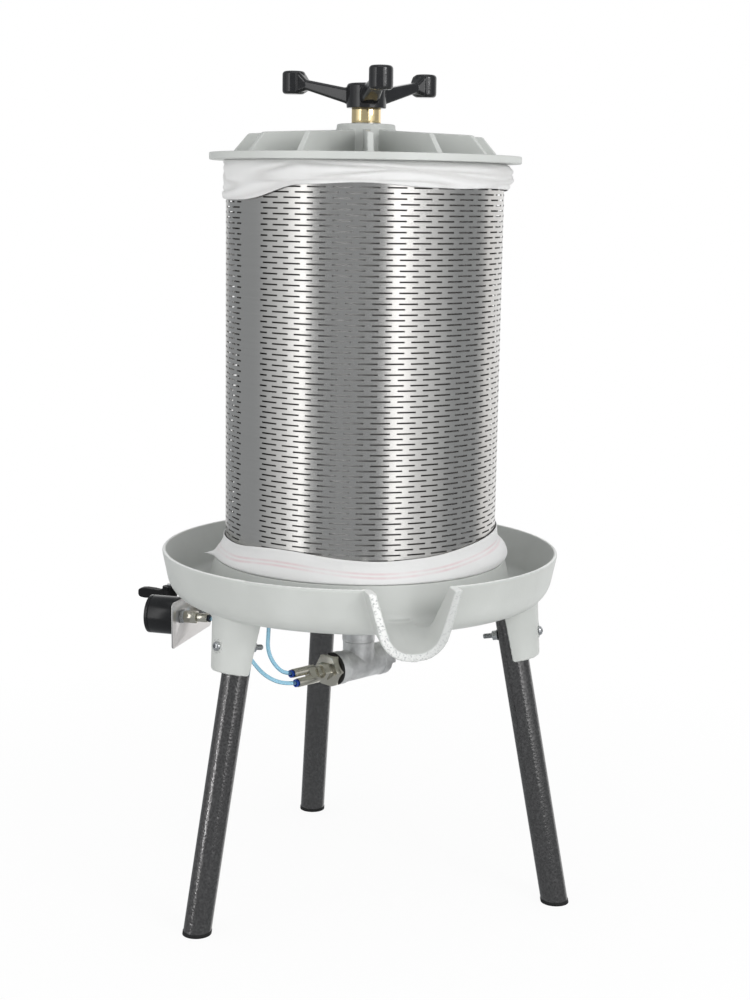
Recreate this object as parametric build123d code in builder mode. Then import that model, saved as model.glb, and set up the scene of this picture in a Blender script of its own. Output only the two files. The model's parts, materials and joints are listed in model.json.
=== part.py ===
"""Pneumatic fruit press: a bladder press with a cast tray on three legs.

Millimetres, +Z up. The origin is on the floor, on the press axis, and the spout points along -Y.
"""
import os
from math import cos, hypot, pi, radians, sin, tan

from build123d import *

os.makedirs("parts", exist_ok=True)

# Stand
tray_rim_radius = 294.0
tray_rim_height = 521.0
tray_depth = 72.0
tray_wall = 9.0
tray_taper = 15.0
tray_corner = 38.0
rim_wall = 5.5
rim_round = 3.5
channel_corner = 15.0
wall_draft = 22.5
plateau_radius = 216.0
plateau_drop = 12.0
plateau_draft = 12.0
boss_radius = 45.0
boss_length = 55.0
spout_reach = 312.0
spout_half_width = 66.0
spout_foot_half_width = 40.0
spout_round = 46.0
spout_wall = 12.0
spout_bottom_drop = 97.0

leg_radius = 20.0
leg_wall = 2.0
leg_splay = 0.192
leg_top_height = 432.0
foot_radius = 311.0
foot_cap_height = 5.0
foot_cap_lip = 0.6
foot_spigot_length = 18.0
leg_azimuths = {"front_left": 210.0, "front_right": 330.0, "rear": 90.0}

socket_bottom_height = 370.0
socket_bottom_radius = 33.5
socket_top_radius = 44.0
socket_shift = 3.0
socket_pad_radius = 9.5
socket_pad_reach = 42.5
socket_gap = 0.4
bolt_gap = 0.4

bolt_height = 406.0
bolt_radius = 4.0
bolt_head_radius = 7.0
bolt_head_height = 4.5
bolt_key_across = 5.0
bolt_key_depth = 2.7
bolt_tail = 42.0
nut_across = 13.0
nut_height = 6.5
washer_radius = 8.0
washer_height = 1.6

# Post and bladder
post_radius = 16.85
post_bore_radius = 13.6
thread_radius = 15.0
thread_below_lid = 13.2
post_above_lid = 100.8
collar_radius = 38.0
collar_height = 10.0
seal_height = 3.0
lock_nut_across = 55.0
lock_nut_height = 12.0
bladder_neck_radius = 24.0
bladder_belly_radius = 62.0
bladder_shoulder = 70.0
bladder_round = 35.0
bladder_bottom_gap = 4.0
bladder_below_lid = 33.2
clamp_width = 12.0
clamp_thickness = 2.0
clamp_inset = 6.0
air_port_radius = 4.0
air_port_height = 760.0
air_port_count = 4

# Basket and bag
basket_radius = 200.0
basket_wall = 1.5
basket_height = 570.0
cloth = 1.5
cloth_gap = 0.6
bag_top_cuff = 34.0
bag_skirt_height = 35.0
bag_skirt_spread = 13.0

# Lid and clamp
lid_radius = 224.0
lid_plate = 10.5
lid_edge_round = 0.8
lid_spigot_depth = 8.0
lid_spigot_gap = 4.0
lid_hub_radius = 42.0
lid_hub_height = 53.5
lid_bore_gap = 1.0
rib_count = 12
rib_turn = -12.0
rib_width = 9.0
rib_foot_radius = 190.0
rib_shoulder_radius = 168.0
rib_foot_height = 1.5
rib_shoulder_height = 27.5
rib_hub_height = 34.5
thrust_radius = 21.5
thrust_height = 1.5
thread_gap = 0.35
brass_radius = 21.0
brass_height = 20.5
brass_spigot_radius = 19.0
brass_spigot_height = 20.0
handle_hub_radius = 28.5
handle_hub_height = 35.0
handle_cap = 5.0
handle_reach = 112.0
handle_turn = -4.0
arm_count = 3
arm_start_radius = 14.0
arm_root_width = 28.0
arm_root_height = 24.0
arm_root_rise = 14.0
arm_neck_width = 20.0
arm_neck_height = 15.0
arm_neck_rise = 33.0
arm_flare = 9.0
arm_flare_width = 30.0
arm_flare_height = 30.0
arm_round = 5.0
knob_radius = 16.8
knob_height = 33.0
knob_rise = 20.0
knob_round = 5.0

# Pipe tee and its fittings
tee_height = 340.5
tee_azimuth = 210.0
tee_reach = 50.0
tee_collar_radius = 24.8
tee_collar_length = 14.0
tee_pipe_radius = 23.6
tee_bore_radius = 14.0
tee_thread_depth = 17.0
pipe_fit = 0.1
plug_thread_length = 14.0
plug_neck_length = 10.0
plug_head_across = 20.0
plug_head_length = 11.0
reducer_seal_height = 3.5
reducer_across = 43.5
reducer_height = 12.5
reducer_nose_across = 24.0
reducer_nose_length = 13.0
reducer_bore_radius = 6.0
y_stem_radius = 6.5
y_stem_length = 12.0
y_hex_across = 17.0
y_hex_length = 9.0
y_block_length = 14.0
y_port_length = 26.0
y_port_radius = 6.5
y_port_offset = 8.0
y_roll = 42.0

# Push-in tube ends
air_tube_radius = 3.0
air_tube_bore_radius = 2.0
tube_gap = 0.4
tube_seat_depth = 14.0
ring_sleeve_radius = 4.6
ring_sleeve_length = 8.0
ring_flange_radius = 5.8
ring_flange_height = 2.4
ring_travel = 1.5
bend_share = 0.45

# Panel, gauge and valve
panel_azimuth = 150.0
panel_distance = 270.0
panel_sheet = 2.0
panel_bottom_height = 358.0
panel_top_height = 428.0
panel_width = 160.0
panel_corner = 6.0
panel_tab_width = 64.0
panel_tab_reach = 38.0
panel_screw_spacing = 36.0
panel_screw_radius = 3.0
panel_screw_head_radius = 5.5
panel_screw_head_height = 3.5
panel_screw_depth = 6.5

gauge_x = 45.0
gauge_height = 402.0
gauge_radius = 29.0
gauge_depth = 48.0
gauge_wall = 2.5
gauge_back = 3.0
bezel_height = 6.0
bezel_lip = 1.5
bezel_lip_height = 1.5
lens_height = 2.0
lens_gap = 0.3
dial_level = 30.0
dial_height = 1.0
pointer_length = 20.0
pointer_tail = 7.0
pointer_half_width = 2.4
pointer_tip_half_width = 0.6
pointer_rest_turn = 135.0
pointer_height = 0.8
pointer_lift = 3.0
pointer_boss_radius = 3.0
arbor_radius = 1.5
arbor_gap = 0.35
movement_width = 18.0
movement_height = 4.0
movement_pillar_radius = 1.5
movement_pillar_spacing = 15.0
bourdon_radius = 15.0
bourdon_tube_radius = 2.6
bourdon_start = 33.0
bourdon_arc = 250.0
stem_radius = 6.5
stem_bore_radius = 2.0
stem_block_width = 13.0
stem_block_reach = 17.5
stem_block_height = 11.0
panel_nut_across = 19.0
panel_nut_height = 6.0
adapter_across = 17.0
adapter_length = 20.0
adapter_thread_depth = 7.0
push_in_radius = 6.6
push_in_length = 17.0
push_in_spigot_radius = 5.0
push_in_spigot_length = 7.0

valve_x = -50.0
valve_height = 388.0
bulkhead_across = 22.0
bulkhead_length = 28.0
valve_across = 24.0
valve_length = 50.0
valve_spigot_length = 8.0
valve_ball_at = 55.0
valve_boss_radius = 7.0
ball_radius = 8.0
ball_flat = 7.0
ball_gap = 0.35
valve_bore_radius = 4.5
inlet_radius = 6.58
inlet_depth = 11.0
valve_stem_radius = 3.2
valve_stem_gap = 0.35
lever_height = 411.0
lever_hub_radius = 11.0
lever_hub_rise = 13.0
lever_clearance = 0.5
lever_thickness = 16.0
lever_width = 14.0
lever_reach = 54.0
lever_ridge_count = 16
lever_ridge_radius = 1.2
lever_ridge_height = 5.0
lever_nut_across = 8.0
lever_nut_height = 4.0

# Routes of the two air tubes, from the Y fitting to the panel
valve_tube_route = [
    (-101.8, -52.6, 346.4),
    (-123.0, -64.8, 346.4),
    (-142.0, -70.5, 362.0),
    (-152.0, -64.0, 384.0),
    (-147.0, -46.0, 408.0),
    (-139.0, -10.0, 420.0),
    (-131.0, 33.0, 421.0),
    (-127.0, 76.0, 414.0),
    (-133.0, 116.0, 400.0),
    (-152.5, 145.8, 388.0),
    (-181.6, 162.6, 388.0),
]
gauge_tube_route = [
    (-96.4, -61.8, 334.6),
    (-123.7, -77.6, 334.6),
    (-156.0, -76.0, 347.0),
    (-175.0, -48.0, 369.0),
    (-182.0, -6.0, 388.0),
    (-188.0, 36.0, 400.0),
    (-202.6, 65.0, 402.0),
    (-229.1, 80.3, 402.0),
]

# Levels that follow from the sizes above
tray_underside = tray_rim_height - tray_depth
channel_floor = tray_underside + tray_wall
plateau_height = tray_rim_height - plateau_drop
plateau_underside = plateau_height - tray_wall
boss_bottom = plateau_underside - boss_length
basket_bottom = plateau_height + cloth + cloth_gap
basket_top = basket_bottom + basket_height
lid_bottom = basket_top + cloth_gap + cloth
lid_top = lid_bottom + lid_plate
thread_start_height = lid_bottom - thread_below_lid
post_top_height = lid_bottom + post_above_lid
bladder_top_height = lid_bottom - bladder_below_lid
hub_top = lid_bottom + lid_hub_height
brass_bottom = hub_top + thrust_height
handle_bottom = brass_bottom + brass_height


def outward(azimuth):
    """Level unit vector away from the press axis."""
    return Vector(cos(radians(azimuth)), sin(radians(azimuth)), 0)


def leg_plane(azimuth, height):
    """Plane square to a leg where its axis is at a height: x points outward, z up the leg."""
    out = outward(azimuth)
    up = Vector(0, 0, 1)
    origin = out * (foot_radius - leg_splay * height) + up * height
    return Plane(origin=origin, x_dir=out + up * leg_splay, z_dir=up - out * leg_splay)


def bolt_plane(azimuth):
    """Plane square to a leg's bolt, on the leg's axis: z points outward along the bolt."""
    leg = leg_plane(azimuth, bolt_height)
    return Plane(origin=leg.origin, x_dir=leg.y_dir, z_dir=leg.x_dir)


def side_plane(azimuth, distance, height):
    """Upright plane facing away from the press axis: y points up, z outward."""
    out = outward(azimuth)
    tangent = Vector(-out.Y, out.X, 0)
    return Plane(origin=out * distance + Vector(0, 0, height), x_dir=tangent, z_dir=out)


def spout_section(inset, bottom):
    """Face of the spout's U: sloping sides down to a round bottom, all set in by the same amount."""
    top_half_width = spout_half_width - inset
    foot_half_width = spout_foot_half_width - inset
    with BuildSketch(mode=Mode.PRIVATE) as section:
        with BuildLine():
            Polyline(
                (-top_half_width, tray_rim_height),
                (-foot_half_width, bottom),
                (foot_half_width, bottom),
                (top_half_width, tray_rim_height),
                close=True,
            )
        make_face()
        fillet(section.vertices().group_by(Axis.Y)[0], spout_round - inset)
    return section.sketch


def save(piece, name):
    """Label a finished piece and write it under its node's name."""
    piece.part.label = name
    export_step(piece.part, f"parts/{name}.step")


# The panel's tab lies flat under the tray, square to the panel
panel_tab_plane = Plane(
    origin=outward(panel_azimuth) * (panel_distance - panel_tab_reach / 2) + Vector(0, 0, tray_underside),
    x_dir=outward(panel_azimuth + 90),
    z_dir=(0, 0, -1),
)

# Juice tray: outside, spout and sockets first, then the hollows
spout_bottom = tray_rim_height - spout_bottom_drop
plateau_foot_radius = plateau_radius + plateau_draft
channel_wall_radius = tray_rim_radius - rim_wall
hollow_radius = plateau_radius - tray_wall
leg_slant = hypot(1, leg_splay)
socket_height = (tray_underside + tray_wall / 2 - socket_bottom_height) * leg_slant
socket_bore_depth = (tray_underside - socket_bottom_height) * leg_slant - leg_splay * leg_radius
with BuildPart() as juice_tray:
    with BuildSketch(Plane.XZ) as outside:
        with BuildLine():
            Polyline(
                (0, tray_underside),
                (tray_rim_radius - tray_taper, tray_underside),
                (tray_rim_radius, tray_rim_height),
                (0, tray_rim_height),
                close=True,
            )
        make_face()
        fillet(outside.vertices().group_by(Axis.X)[-2], tray_corner)
        fillet(outside.vertices().sort_by(Axis.X)[-1], rim_round)
    revolve(axis=Axis.Z)
    with BuildSketch(Plane.XZ.offset(plateau_foot_radius)):
        add(spout_section(0, tray_underside))
    with BuildSketch(Plane.XZ.offset(spout_reach)):
        add(spout_section(0, spout_bottom))
    loft(ruled=True)
    for azimuth in leg_azimuths.values():
        leg = leg_plane(azimuth, socket_bottom_height)
        socket_foot = leg.origin + bolt_plane(azimuth).z_dir * socket_shift
        with BuildSketch(Plane(origin=socket_foot, x_dir=-leg.y_dir, z_dir=-leg.x_dir)):
            with BuildLine():
                Polyline(
                    (0, 0),
                    (socket_bottom_radius, 0),
                    (socket_top_radius, socket_height),
                    (0, socket_height),
                    close=True,
                )
            make_face()
        revolve(axis=Axis(socket_foot, leg.z_dir), revolution_arc=180)
        with BuildSketch(bolt_plane(azimuth)):
            Circle(socket_pad_radius)
        extrude(amount=socket_pad_reach)
    with BuildSketch(Plane.XZ) as channel:
        with BuildLine():
            Polyline(
                (0, plateau_height),
                (plateau_radius, plateau_height),
                (plateau_foot_radius, channel_floor),
                (channel_wall_radius - wall_draft, channel_floor),
                (channel_wall_radius, tray_rim_height),
                (0, tray_rim_height),
                close=True,
            )
        make_face()
        fillet(channel.vertices().group_by(Axis.Y)[0], channel_corner)
    revolve(axis=Axis.Z, mode=Mode.SUBTRACT)
    with BuildSketch(Plane.XZ):
        with BuildLine():
            Polyline(
                (boss_radius, tray_underside),
                (boss_radius, plateau_underside),
                (hollow_radius, plateau_underside),
                (hollow_radius + plateau_draft, tray_underside),
                close=True,
            )
        make_face()
    revolve(axis=Axis.Z, mode=Mode.SUBTRACT)
    with BuildSketch(Plane.XY.offset(boss_bottom)):
        Circle(boss_radius)
    extrude(amount=tray_underside - boss_bottom)
    with BuildSketch(Plane.XZ.offset(plateau_foot_radius)):
        add(spout_section(spout_wall, channel_floor))
    with BuildSketch(Plane.XZ.offset(spout_reach)):
        add(spout_section(spout_wall, spout_bottom + spout_wall))
    loft(ruled=True, mode=Mode.SUBTRACT)
    with BuildSketch(Plane.XY):
        Circle(post_radius + pipe_fit)
    extrude(amount=tray_rim_height, mode=Mode.SUBTRACT)
    for azimuth in leg_azimuths.values():
        with BuildSketch(leg_plane(azimuth, socket_bottom_height)):
            Circle(leg_radius + socket_gap)
        extrude(amount=socket_bore_depth, mode=Mode.SUBTRACT)
        with BuildSketch(bolt_plane(azimuth)):
            Circle(bolt_radius + bolt_gap)
        extrude(amount=socket_pad_reach, mode=Mode.SUBTRACT)
    with Locations(panel_tab_plane):
        with GridLocations(panel_screw_spacing, 0, 2, 1):
            Hole(panel_screw_radius + bolt_gap, panel_screw_depth)
save(juice_tray, "juice_tray")

# Legs and foot caps, cut level where they stand on the floor
leg_foot_run = leg_radius * leg_splay + foot_cap_height
for side, azimuth in leg_azimuths.items():
    below_floor = leg_plane(azimuth, -leg_foot_run)
    with BuildPart() as leg_tube:
        with BuildSketch(below_floor):
            Circle(leg_radius)
            Circle(leg_radius - leg_wall, mode=Mode.SUBTRACT)
        extrude(amount=(leg_top_height + leg_foot_run) * leg_slant)
        split(bisect_by=Plane.XY.offset(foot_cap_height), keep=Keep.TOP)
        with BuildSketch(bolt_plane(azimuth).offset(-leg_radius)):
            Circle(bolt_radius + bolt_gap)
        extrude(amount=2 * leg_radius, mode=Mode.SUBTRACT)
    save(leg_tube, f"leg_{side}")

    with BuildPart() as foot_cap:
        with BuildSketch(below_floor):
            Circle(leg_radius + foot_cap_lip)
        extrude(amount=2 * leg_foot_run * leg_slant)
        split(bisect_by=Plane.XY.offset(foot_cap_height), keep=Keep.BOTTOM)
        with BuildSketch(leg_plane(azimuth, 0)):
            Circle(leg_radius - leg_wall - pipe_fit)
        extrude(amount=(foot_cap_height + foot_spigot_length) * leg_slant)
        split(bisect_by=Plane.XY, keep=Keep.TOP)
    save(foot_cap, f"foot_cap_{side}")

# Leg bolts with their washers and nuts, one set for each leg
with BuildPart() as leg_bolts:
    for azimuth in leg_azimuths.values():
        seat = bolt_plane(azimuth).offset(socket_pad_reach)
        with BuildSketch(seat):
            Circle(bolt_head_radius)
        extrude(amount=bolt_head_height)
        with BuildSketch(seat.offset(bolt_head_height)):
            RegularPolygon(bolt_key_across / 2, 6, major_radius=False)
        extrude(amount=-bolt_key_depth, mode=Mode.SUBTRACT)
        with BuildSketch(seat):
            Circle(bolt_radius)
        extrude(amount=-socket_pad_reach - bolt_tail)
save(leg_bolts, "leg_bolts")

with BuildPart() as leg_washers:
    for azimuth in leg_azimuths.values():
        with BuildSketch(bolt_plane(azimuth).offset(-leg_radius)):
            Circle(washer_radius)
            Circle(bolt_radius + pipe_fit, mode=Mode.SUBTRACT)
        extrude(amount=-washer_height)
save(leg_washers, "leg_washers")

with BuildPart() as leg_nuts:
    for azimuth in leg_azimuths.values():
        with BuildSketch(bolt_plane(azimuth).offset(-leg_radius - washer_height)):
            RegularPolygon(nut_across / 2, 6, major_radius=False)
            Circle(bolt_radius + pipe_fit, mode=Mode.SUBTRACT)
        extrude(amount=-nut_height)
save(leg_nuts, "leg_nuts")

# Post: a pipe with a welded collar, a threaded top and air ports inside the bladder
collar_bottom = plateau_height + seal_height
post_bottom = tee_height + tee_reach - tee_thread_depth
post_bore_top = air_port_height + post_radius
with BuildPart() as post:
    with BuildSketch(Plane.XZ):
        with BuildLine():
            Polyline(
                (0, post_bottom),
                (post_radius, post_bottom),
                (post_radius, collar_bottom),
                (collar_radius, collar_bottom),
                (collar_radius, collar_bottom + collar_height),
                (post_radius, collar_bottom + collar_height),
                (post_radius, thread_start_height),
                (thread_radius, thread_start_height),
                (thread_radius, post_top_height),
                (0, post_top_height),
                close=True,
            )
        make_face()
    revolve(axis=Axis.Z)
    with BuildSketch(Plane.XY.offset(post_bottom)):
        Circle(post_bore_radius)
    extrude(amount=post_bore_top - post_bottom, mode=Mode.SUBTRACT)
    for number in range(air_port_count):
        with BuildSketch(side_plane(number * 360 / air_port_count, 0, air_port_height)):
            Circle(air_port_radius)
        extrude(amount=2 * post_radius, mode=Mode.SUBTRACT)
    chamfer(post.edges().group_by(Axis.Z)[-1], thread_radius - post_bore_radius)
save(post, "post")

with BuildPart() as post_seal:
    with BuildSketch(Plane.XY.offset(plateau_height)):
        Circle(collar_radius)
        Circle(post_radius + pipe_fit, mode=Mode.SUBTRACT)
    extrude(amount=seal_height)
save(post_seal, "post_seal")

with BuildPart() as post_lock_nut:
    with BuildSketch(Plane.XY.offset(boss_bottom)):
        RegularPolygon(lock_nut_across / 2, 6, major_radius=False)
        Circle(post_radius + pipe_fit, mode=Mode.SUBTRACT)
    extrude(amount=-lock_nut_height)
save(post_lock_nut, "post_lock_nut")

# Bladder: an empty rubber sleeve with a neck clamped at each end
bladder_bottom = collar_bottom + collar_height + bladder_bottom_gap
bladder_bore = post_radius + pipe_fit
neck_length = clamp_width + 2 * clamp_inset
with BuildPart() as bladder:
    with BuildSketch(Plane.XZ):
        with BuildLine():
            low = bladder_bottom + neck_length
            high = bladder_top_height - neck_length
            Polyline(
                (bladder_neck_radius, low),
                (bladder_neck_radius, bladder_bottom),
                (bladder_bore, bladder_bottom),
                (bladder_bore, bladder_top_height),
                (bladder_neck_radius, bladder_top_height),
                (bladder_neck_radius, high),
                (bladder_belly_radius, high - bladder_shoulder),
                (bladder_belly_radius, low + bladder_shoulder),
                close=True,
            )
        make_face()
    revolve(axis=Axis.Z)
    fillet(bladder.edges().filter_by(GeomType.CIRCLE).group_by(SortBy.RADIUS)[-1], bladder_round)
save(bladder, "bladder")

clamp_levels = {
    "bladder_clamp_lower": bladder_bottom + clamp_inset,
    "bladder_clamp_upper": bladder_top_height - clamp_inset - clamp_width,
}
for name, level in clamp_levels.items():
    with BuildPart() as clamp:
        with BuildSketch(Plane.XY.offset(level)):
            Circle(bladder_neck_radius + pipe_fit + clamp_thickness)
            Circle(bladder_neck_radius + pipe_fit, mode=Mode.SUBTRACT)
        extrude(amount=clamp_width)
    save(clamp, name)

# Basket shell, with the bag folded over both of its rims
with BuildPart() as basket_shell:
    with BuildSketch(Plane.XY.offset(basket_bottom)):
        Circle(basket_radius)
        Circle(basket_radius - basket_wall, mode=Mode.SUBTRACT)
    extrude(amount=basket_height)
save(basket_shell, "basket_shell")

bag_inner = basket_radius - basket_wall - cloth_gap
bag_outer = basket_radius + cloth_gap
bag_bottom = plateau_height
bag_top = lid_bottom
skirt_foot = bag_outer + bag_skirt_spread
with BuildPart() as press_bag:
    with BuildSketch(Plane.XZ):
        with BuildLine():
            Polyline(
                (bag_inner - cloth, bag_bottom),
                (skirt_foot + cloth, bag_bottom),
                (bag_outer + cloth, bag_bottom + bag_skirt_height),
                (bag_outer, bag_bottom + bag_skirt_height),
                (skirt_foot - cloth, bag_bottom + cloth),
                (bag_inner, bag_bottom + cloth),
                (bag_inner, bag_top - cloth),
                (bag_outer, bag_top - cloth),
                (bag_outer, bag_top - bag_top_cuff),
                (bag_outer + cloth, bag_top - bag_top_cuff),
                (bag_outer + cloth, bag_top),
                (bag_inner - cloth, bag_top),
                close=True,
            )
        make_face()
    revolve(axis=Axis.Z)
save(press_bag, "press_bag")

# Lid: plate, spigot inside the bag, hub and radial ribs
lid_bore = thread_radius + lid_bore_gap
spigot_radius = bag_inner - cloth - lid_spigot_gap
with BuildPart() as lid:
    with BuildSketch(Plane.XZ):
        with BuildLine():
            Polyline(
                (0, lid_bottom - lid_spigot_depth),
                (spigot_radius, lid_bottom - lid_spigot_depth),
                (spigot_radius, lid_bottom),
                (lid_radius, lid_bottom),
                (lid_radius, lid_top),
                (lid_hub_radius, lid_top),
                (lid_hub_radius, hub_top),
                (0, hub_top),
                close=True,
            )
        make_face()
    revolve(axis=Axis.Z)
    fillet(lid.edges().filter_by(GeomType.CIRCLE).group_by(SortBy.RADIUS)[-1], lid_edge_round)
    for number in range(rib_count):
        azimuth = rib_turn + number * 360 / rib_count
        rib_face = Plane(origin=(0, 0, lid_bottom), x_dir=outward(azimuth), z_dir=outward(azimuth - 90))
        with BuildSketch(rib_face):
            with BuildLine():
                Polyline(
                    (lid_hub_radius - rib_width, lid_plate / 2),
                    (rib_foot_radius, lid_plate / 2),
                    (rib_foot_radius, lid_plate + rib_foot_height),
                    (rib_shoulder_radius, lid_plate + rib_shoulder_height),
                    (lid_hub_radius - rib_width, lid_plate + rib_hub_height),
                    close=True,
                )
            make_face()
        extrude(amount=rib_width / 2, both=True)
    with BuildSketch(Plane.XY.offset(lid_bottom - lid_spigot_depth)):
        Circle(lid_bore)
    extrude(amount=lid_hub_height + lid_spigot_depth, mode=Mode.SUBTRACT)
save(lid, "lid")

with BuildPart() as thrust_washer:
    with BuildSketch(Plane.XY.offset(hub_top)):
        Circle(thrust_radius)
        Circle(thread_radius + lid_bore_gap, mode=Mode.SUBTRACT)
    extrude(amount=thrust_height)
save(thrust_washer, "thrust_washer")

with BuildPart() as brass_nut:
    with BuildSketch(Plane.XY.offset(brass_bottom)):
        Circle(brass_radius)
    extrude(amount=brass_height)
    with BuildSketch(Plane.XY.offset(handle_bottom)):
        RegularPolygon(brass_spigot_radius, 6)
    extrude(amount=brass_spigot_height)
    with BuildSketch(Plane.XY.offset(brass_bottom)):
        Circle(thread_radius + thread_gap)
    extrude(amount=brass_height + brass_spigot_height, mode=Mode.SUBTRACT)
save(brass_nut, "brass_nut")

# Handle: a hub over the nut's spigot and three rising arms with round ends
arm_neck_radius = handle_reach - knob_radius - arm_flare / 2
knob_centre = handle_bottom + knob_rise + knob_height / 2
with BuildPart() as handle:
    with BuildSketch(Plane.XY.offset(handle_bottom)):
        Circle(handle_hub_radius)
    extrude(amount=handle_hub_height)
    fillet(handle.edges().group_by(Axis.Z)[-1], knob_round)
    for number in range(arm_count):
        azimuth = -90 + handle_turn + number * 360 / arm_count
        with BuildSketch(side_plane(azimuth, arm_start_radius, handle_bottom + arm_root_rise)):
            RectangleRounded(arm_root_width, arm_root_height, arm_round)
        with BuildSketch(side_plane(azimuth, arm_neck_radius, handle_bottom + arm_neck_rise)):
            RectangleRounded(arm_neck_width, arm_neck_height, arm_round)
        with BuildSketch(side_plane(azimuth, arm_neck_radius + arm_flare, knob_centre)):
            RectangleRounded(arm_flare_width, arm_flare_height, arm_round)
        loft(ruled=True)
        knob_seat = outward(azimuth) * handle_reach + Vector(0, 0, handle_bottom + knob_rise)
        with BuildSketch(Plane(knob_seat, x_dir=outward(azimuth), z_dir=outward(azimuth - 90))) as knob:
            Rectangle(knob_radius, knob_height, align=(Align.MIN, Align.MIN))
            fillet(knob.vertices().group_by(Axis.X)[-1], knob_round)
        revolve(axis=Axis(knob_seat, (0, 0, 1)))
    with BuildSketch(Plane.XY.offset(handle_bottom)):
        RegularPolygon(brass_spigot_radius + pipe_fit, 6)
    extrude(amount=handle_hub_height - handle_cap, mode=Mode.SUBTRACT)
save(handle, "handle")

# Pipe tee on the post's foot, its run level and square to the branch
pipe_hole = post_radius + pipe_fit
tee_ends = [
    side_plane(tee_azimuth, tee_reach, tee_height),
    side_plane(tee_azimuth + 180, tee_reach, tee_height),
    Plane.XY.offset(tee_height + tee_reach),
]
with BuildPart() as pipe_tee:
    for end in tee_ends:
        with BuildSketch(end):
            Circle(tee_pipe_radius)
        extrude(amount=-tee_reach)
        with BuildSketch(end):
            Circle(tee_collar_radius)
        extrude(amount=-tee_collar_length)
    for end in tee_ends:
        with BuildSketch(end):
            Circle(tee_bore_radius)
        extrude(amount=-tee_reach, mode=Mode.SUBTRACT)
        with BuildSketch(end):
            Circle(pipe_hole)
        extrude(amount=-tee_thread_depth, mode=Mode.SUBTRACT)
save(pipe_tee, "pipe_tee")

with BuildPart() as tee_plug:
    with BuildSketch(tee_ends[1].offset(-plug_thread_length)):
        Circle(post_radius)
    extrude(amount=plug_thread_length + plug_neck_length)
    with BuildSketch(tee_ends[1].offset(plug_neck_length)):
        Rectangle(plug_head_across, plug_head_across)
    extrude(amount=plug_head_length)
save(tee_plug, "tee_plug")

with BuildPart() as reducer_seal:
    with BuildSketch(tee_ends[0]):
        Circle(tee_collar_radius)
        Circle(pipe_hole, mode=Mode.SUBTRACT)
    extrude(amount=reducer_seal_height)
save(reducer_seal, "reducer_seal")

reducer_seat = tee_ends[0].offset(reducer_seal_height)
reducer_face = reducer_seat.offset(reducer_height)
y_seat = reducer_face.offset(reducer_nose_length)
with BuildPart() as reducer_bushing:
    with BuildSketch(reducer_seat.offset(-tee_thread_depth)):
        Circle(post_radius)
    extrude(amount=tee_thread_depth)
    with BuildSketch(reducer_seat):
        RegularPolygon(reducer_across / 2, 6, major_radius=False)
    extrude(amount=reducer_height)
    with BuildSketch(reducer_face):
        RegularPolygon(reducer_nose_across / 2, 6, major_radius=False)
    extrude(amount=reducer_nose_length)
    with BuildSketch(y_seat):
        Circle(reducer_bore_radius)
    extrude(amount=-reducer_nose_length - reducer_height - tee_thread_depth, mode=Mode.SUBTRACT)
    with BuildSketch(y_seat):
        Circle(y_stem_radius + pipe_fit)
    extrude(amount=-y_stem_length, mode=Mode.SUBTRACT)
save(reducer_bushing, "reducer_bushing")

# Y fitting: one threaded stem, two parallel push-in ports
ring_hole = ring_sleeve_radius + tube_gap
ring_hole_depth = ring_sleeve_length + tube_gap
tube_hole = air_tube_radius + tube_gap
y_block_seat = y_seat.offset(y_hex_length)
y_face = y_block_seat.offset(y_block_length + y_port_length)
y_side = y_port_offset * sin(radians(y_roll))
y_rise = y_port_offset * cos(radians(y_roll))
y_ports = {"upper": (-y_side, y_rise), "lower": (y_side, -y_rise)}
with BuildPart() as y_fitting:
    with BuildSketch(y_seat):
        Circle(y_stem_radius)
    extrude(amount=-y_stem_length)
    with BuildSketch(y_seat):
        RegularPolygon(y_hex_across / 2, 6, major_radius=False)
    extrude(amount=y_hex_length)
    with BuildSketch(y_block_seat):
        SlotCenterToCenter(2 * y_port_offset, 2 * y_port_radius, rotation=90 + y_roll)
    extrude(amount=y_block_length)
    with BuildSketch(y_face):
        with Locations(*y_ports.values()):
            Circle(y_port_radius)
    extrude(amount=-y_port_length)
    with BuildSketch(y_face):
        with Locations(*y_ports.values()):
            Circle(ring_hole)
    extrude(amount=-ring_hole_depth - ring_travel, mode=Mode.SUBTRACT)
    with BuildSketch(y_face):
        with Locations(*y_ports.values()):
            Circle(tube_hole)
    extrude(amount=-tube_seat_depth, mode=Mode.SUBTRACT)
    with BuildSketch(y_face):
        with Locations(*y_ports.values()):
            Circle(air_tube_bore_radius)
    extrude(amount=-y_port_length - y_block_length / 2, mode=Mode.SUBTRACT)
    with BuildSketch(y_block_seat.offset(y_block_length / 2)):
        SlotCenterToCenter(2 * y_port_offset, 2 * air_tube_bore_radius, rotation=90 + y_roll)
    extrude(amount=-2 * air_tube_bore_radius, mode=Mode.SUBTRACT)
    with BuildSketch(y_seat.offset(-y_stem_length)):
        Circle(air_tube_bore_radius)
    extrude(amount=y_stem_length + y_hex_length + y_block_length / 2, mode=Mode.SUBTRACT)
save(y_fitting, "y_fitting")


def plane_at(base, x, y):
    """Plane parallel to a base plane, moved within it."""
    return Plane(origin=base.from_local_coords((x, y, 0)), x_dir=base.x_dir, z_dir=base.z_dir)


def save_release_ring(port, name):
    """Ring that frees a tube when it is pushed into its port: a flange with a sleeve inside the port."""
    flange_seat = port.offset(ring_travel + tube_gap)
    with BuildPart() as ring:
        with BuildSketch(flange_seat):
            Circle(ring_flange_radius)
        extrude(amount=ring_flange_height)
        with BuildSketch(flange_seat):
            Circle(ring_sleeve_radius)
        extrude(amount=-ring_sleeve_length - ring_travel)
        with BuildSketch(flange_seat.offset(ring_flange_height)):
            Circle(tube_hole)
        extrude(amount=-ring_flange_height - ring_sleeve_length - ring_travel, mode=Mode.SUBTRACT)
    save(ring, name)


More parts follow.
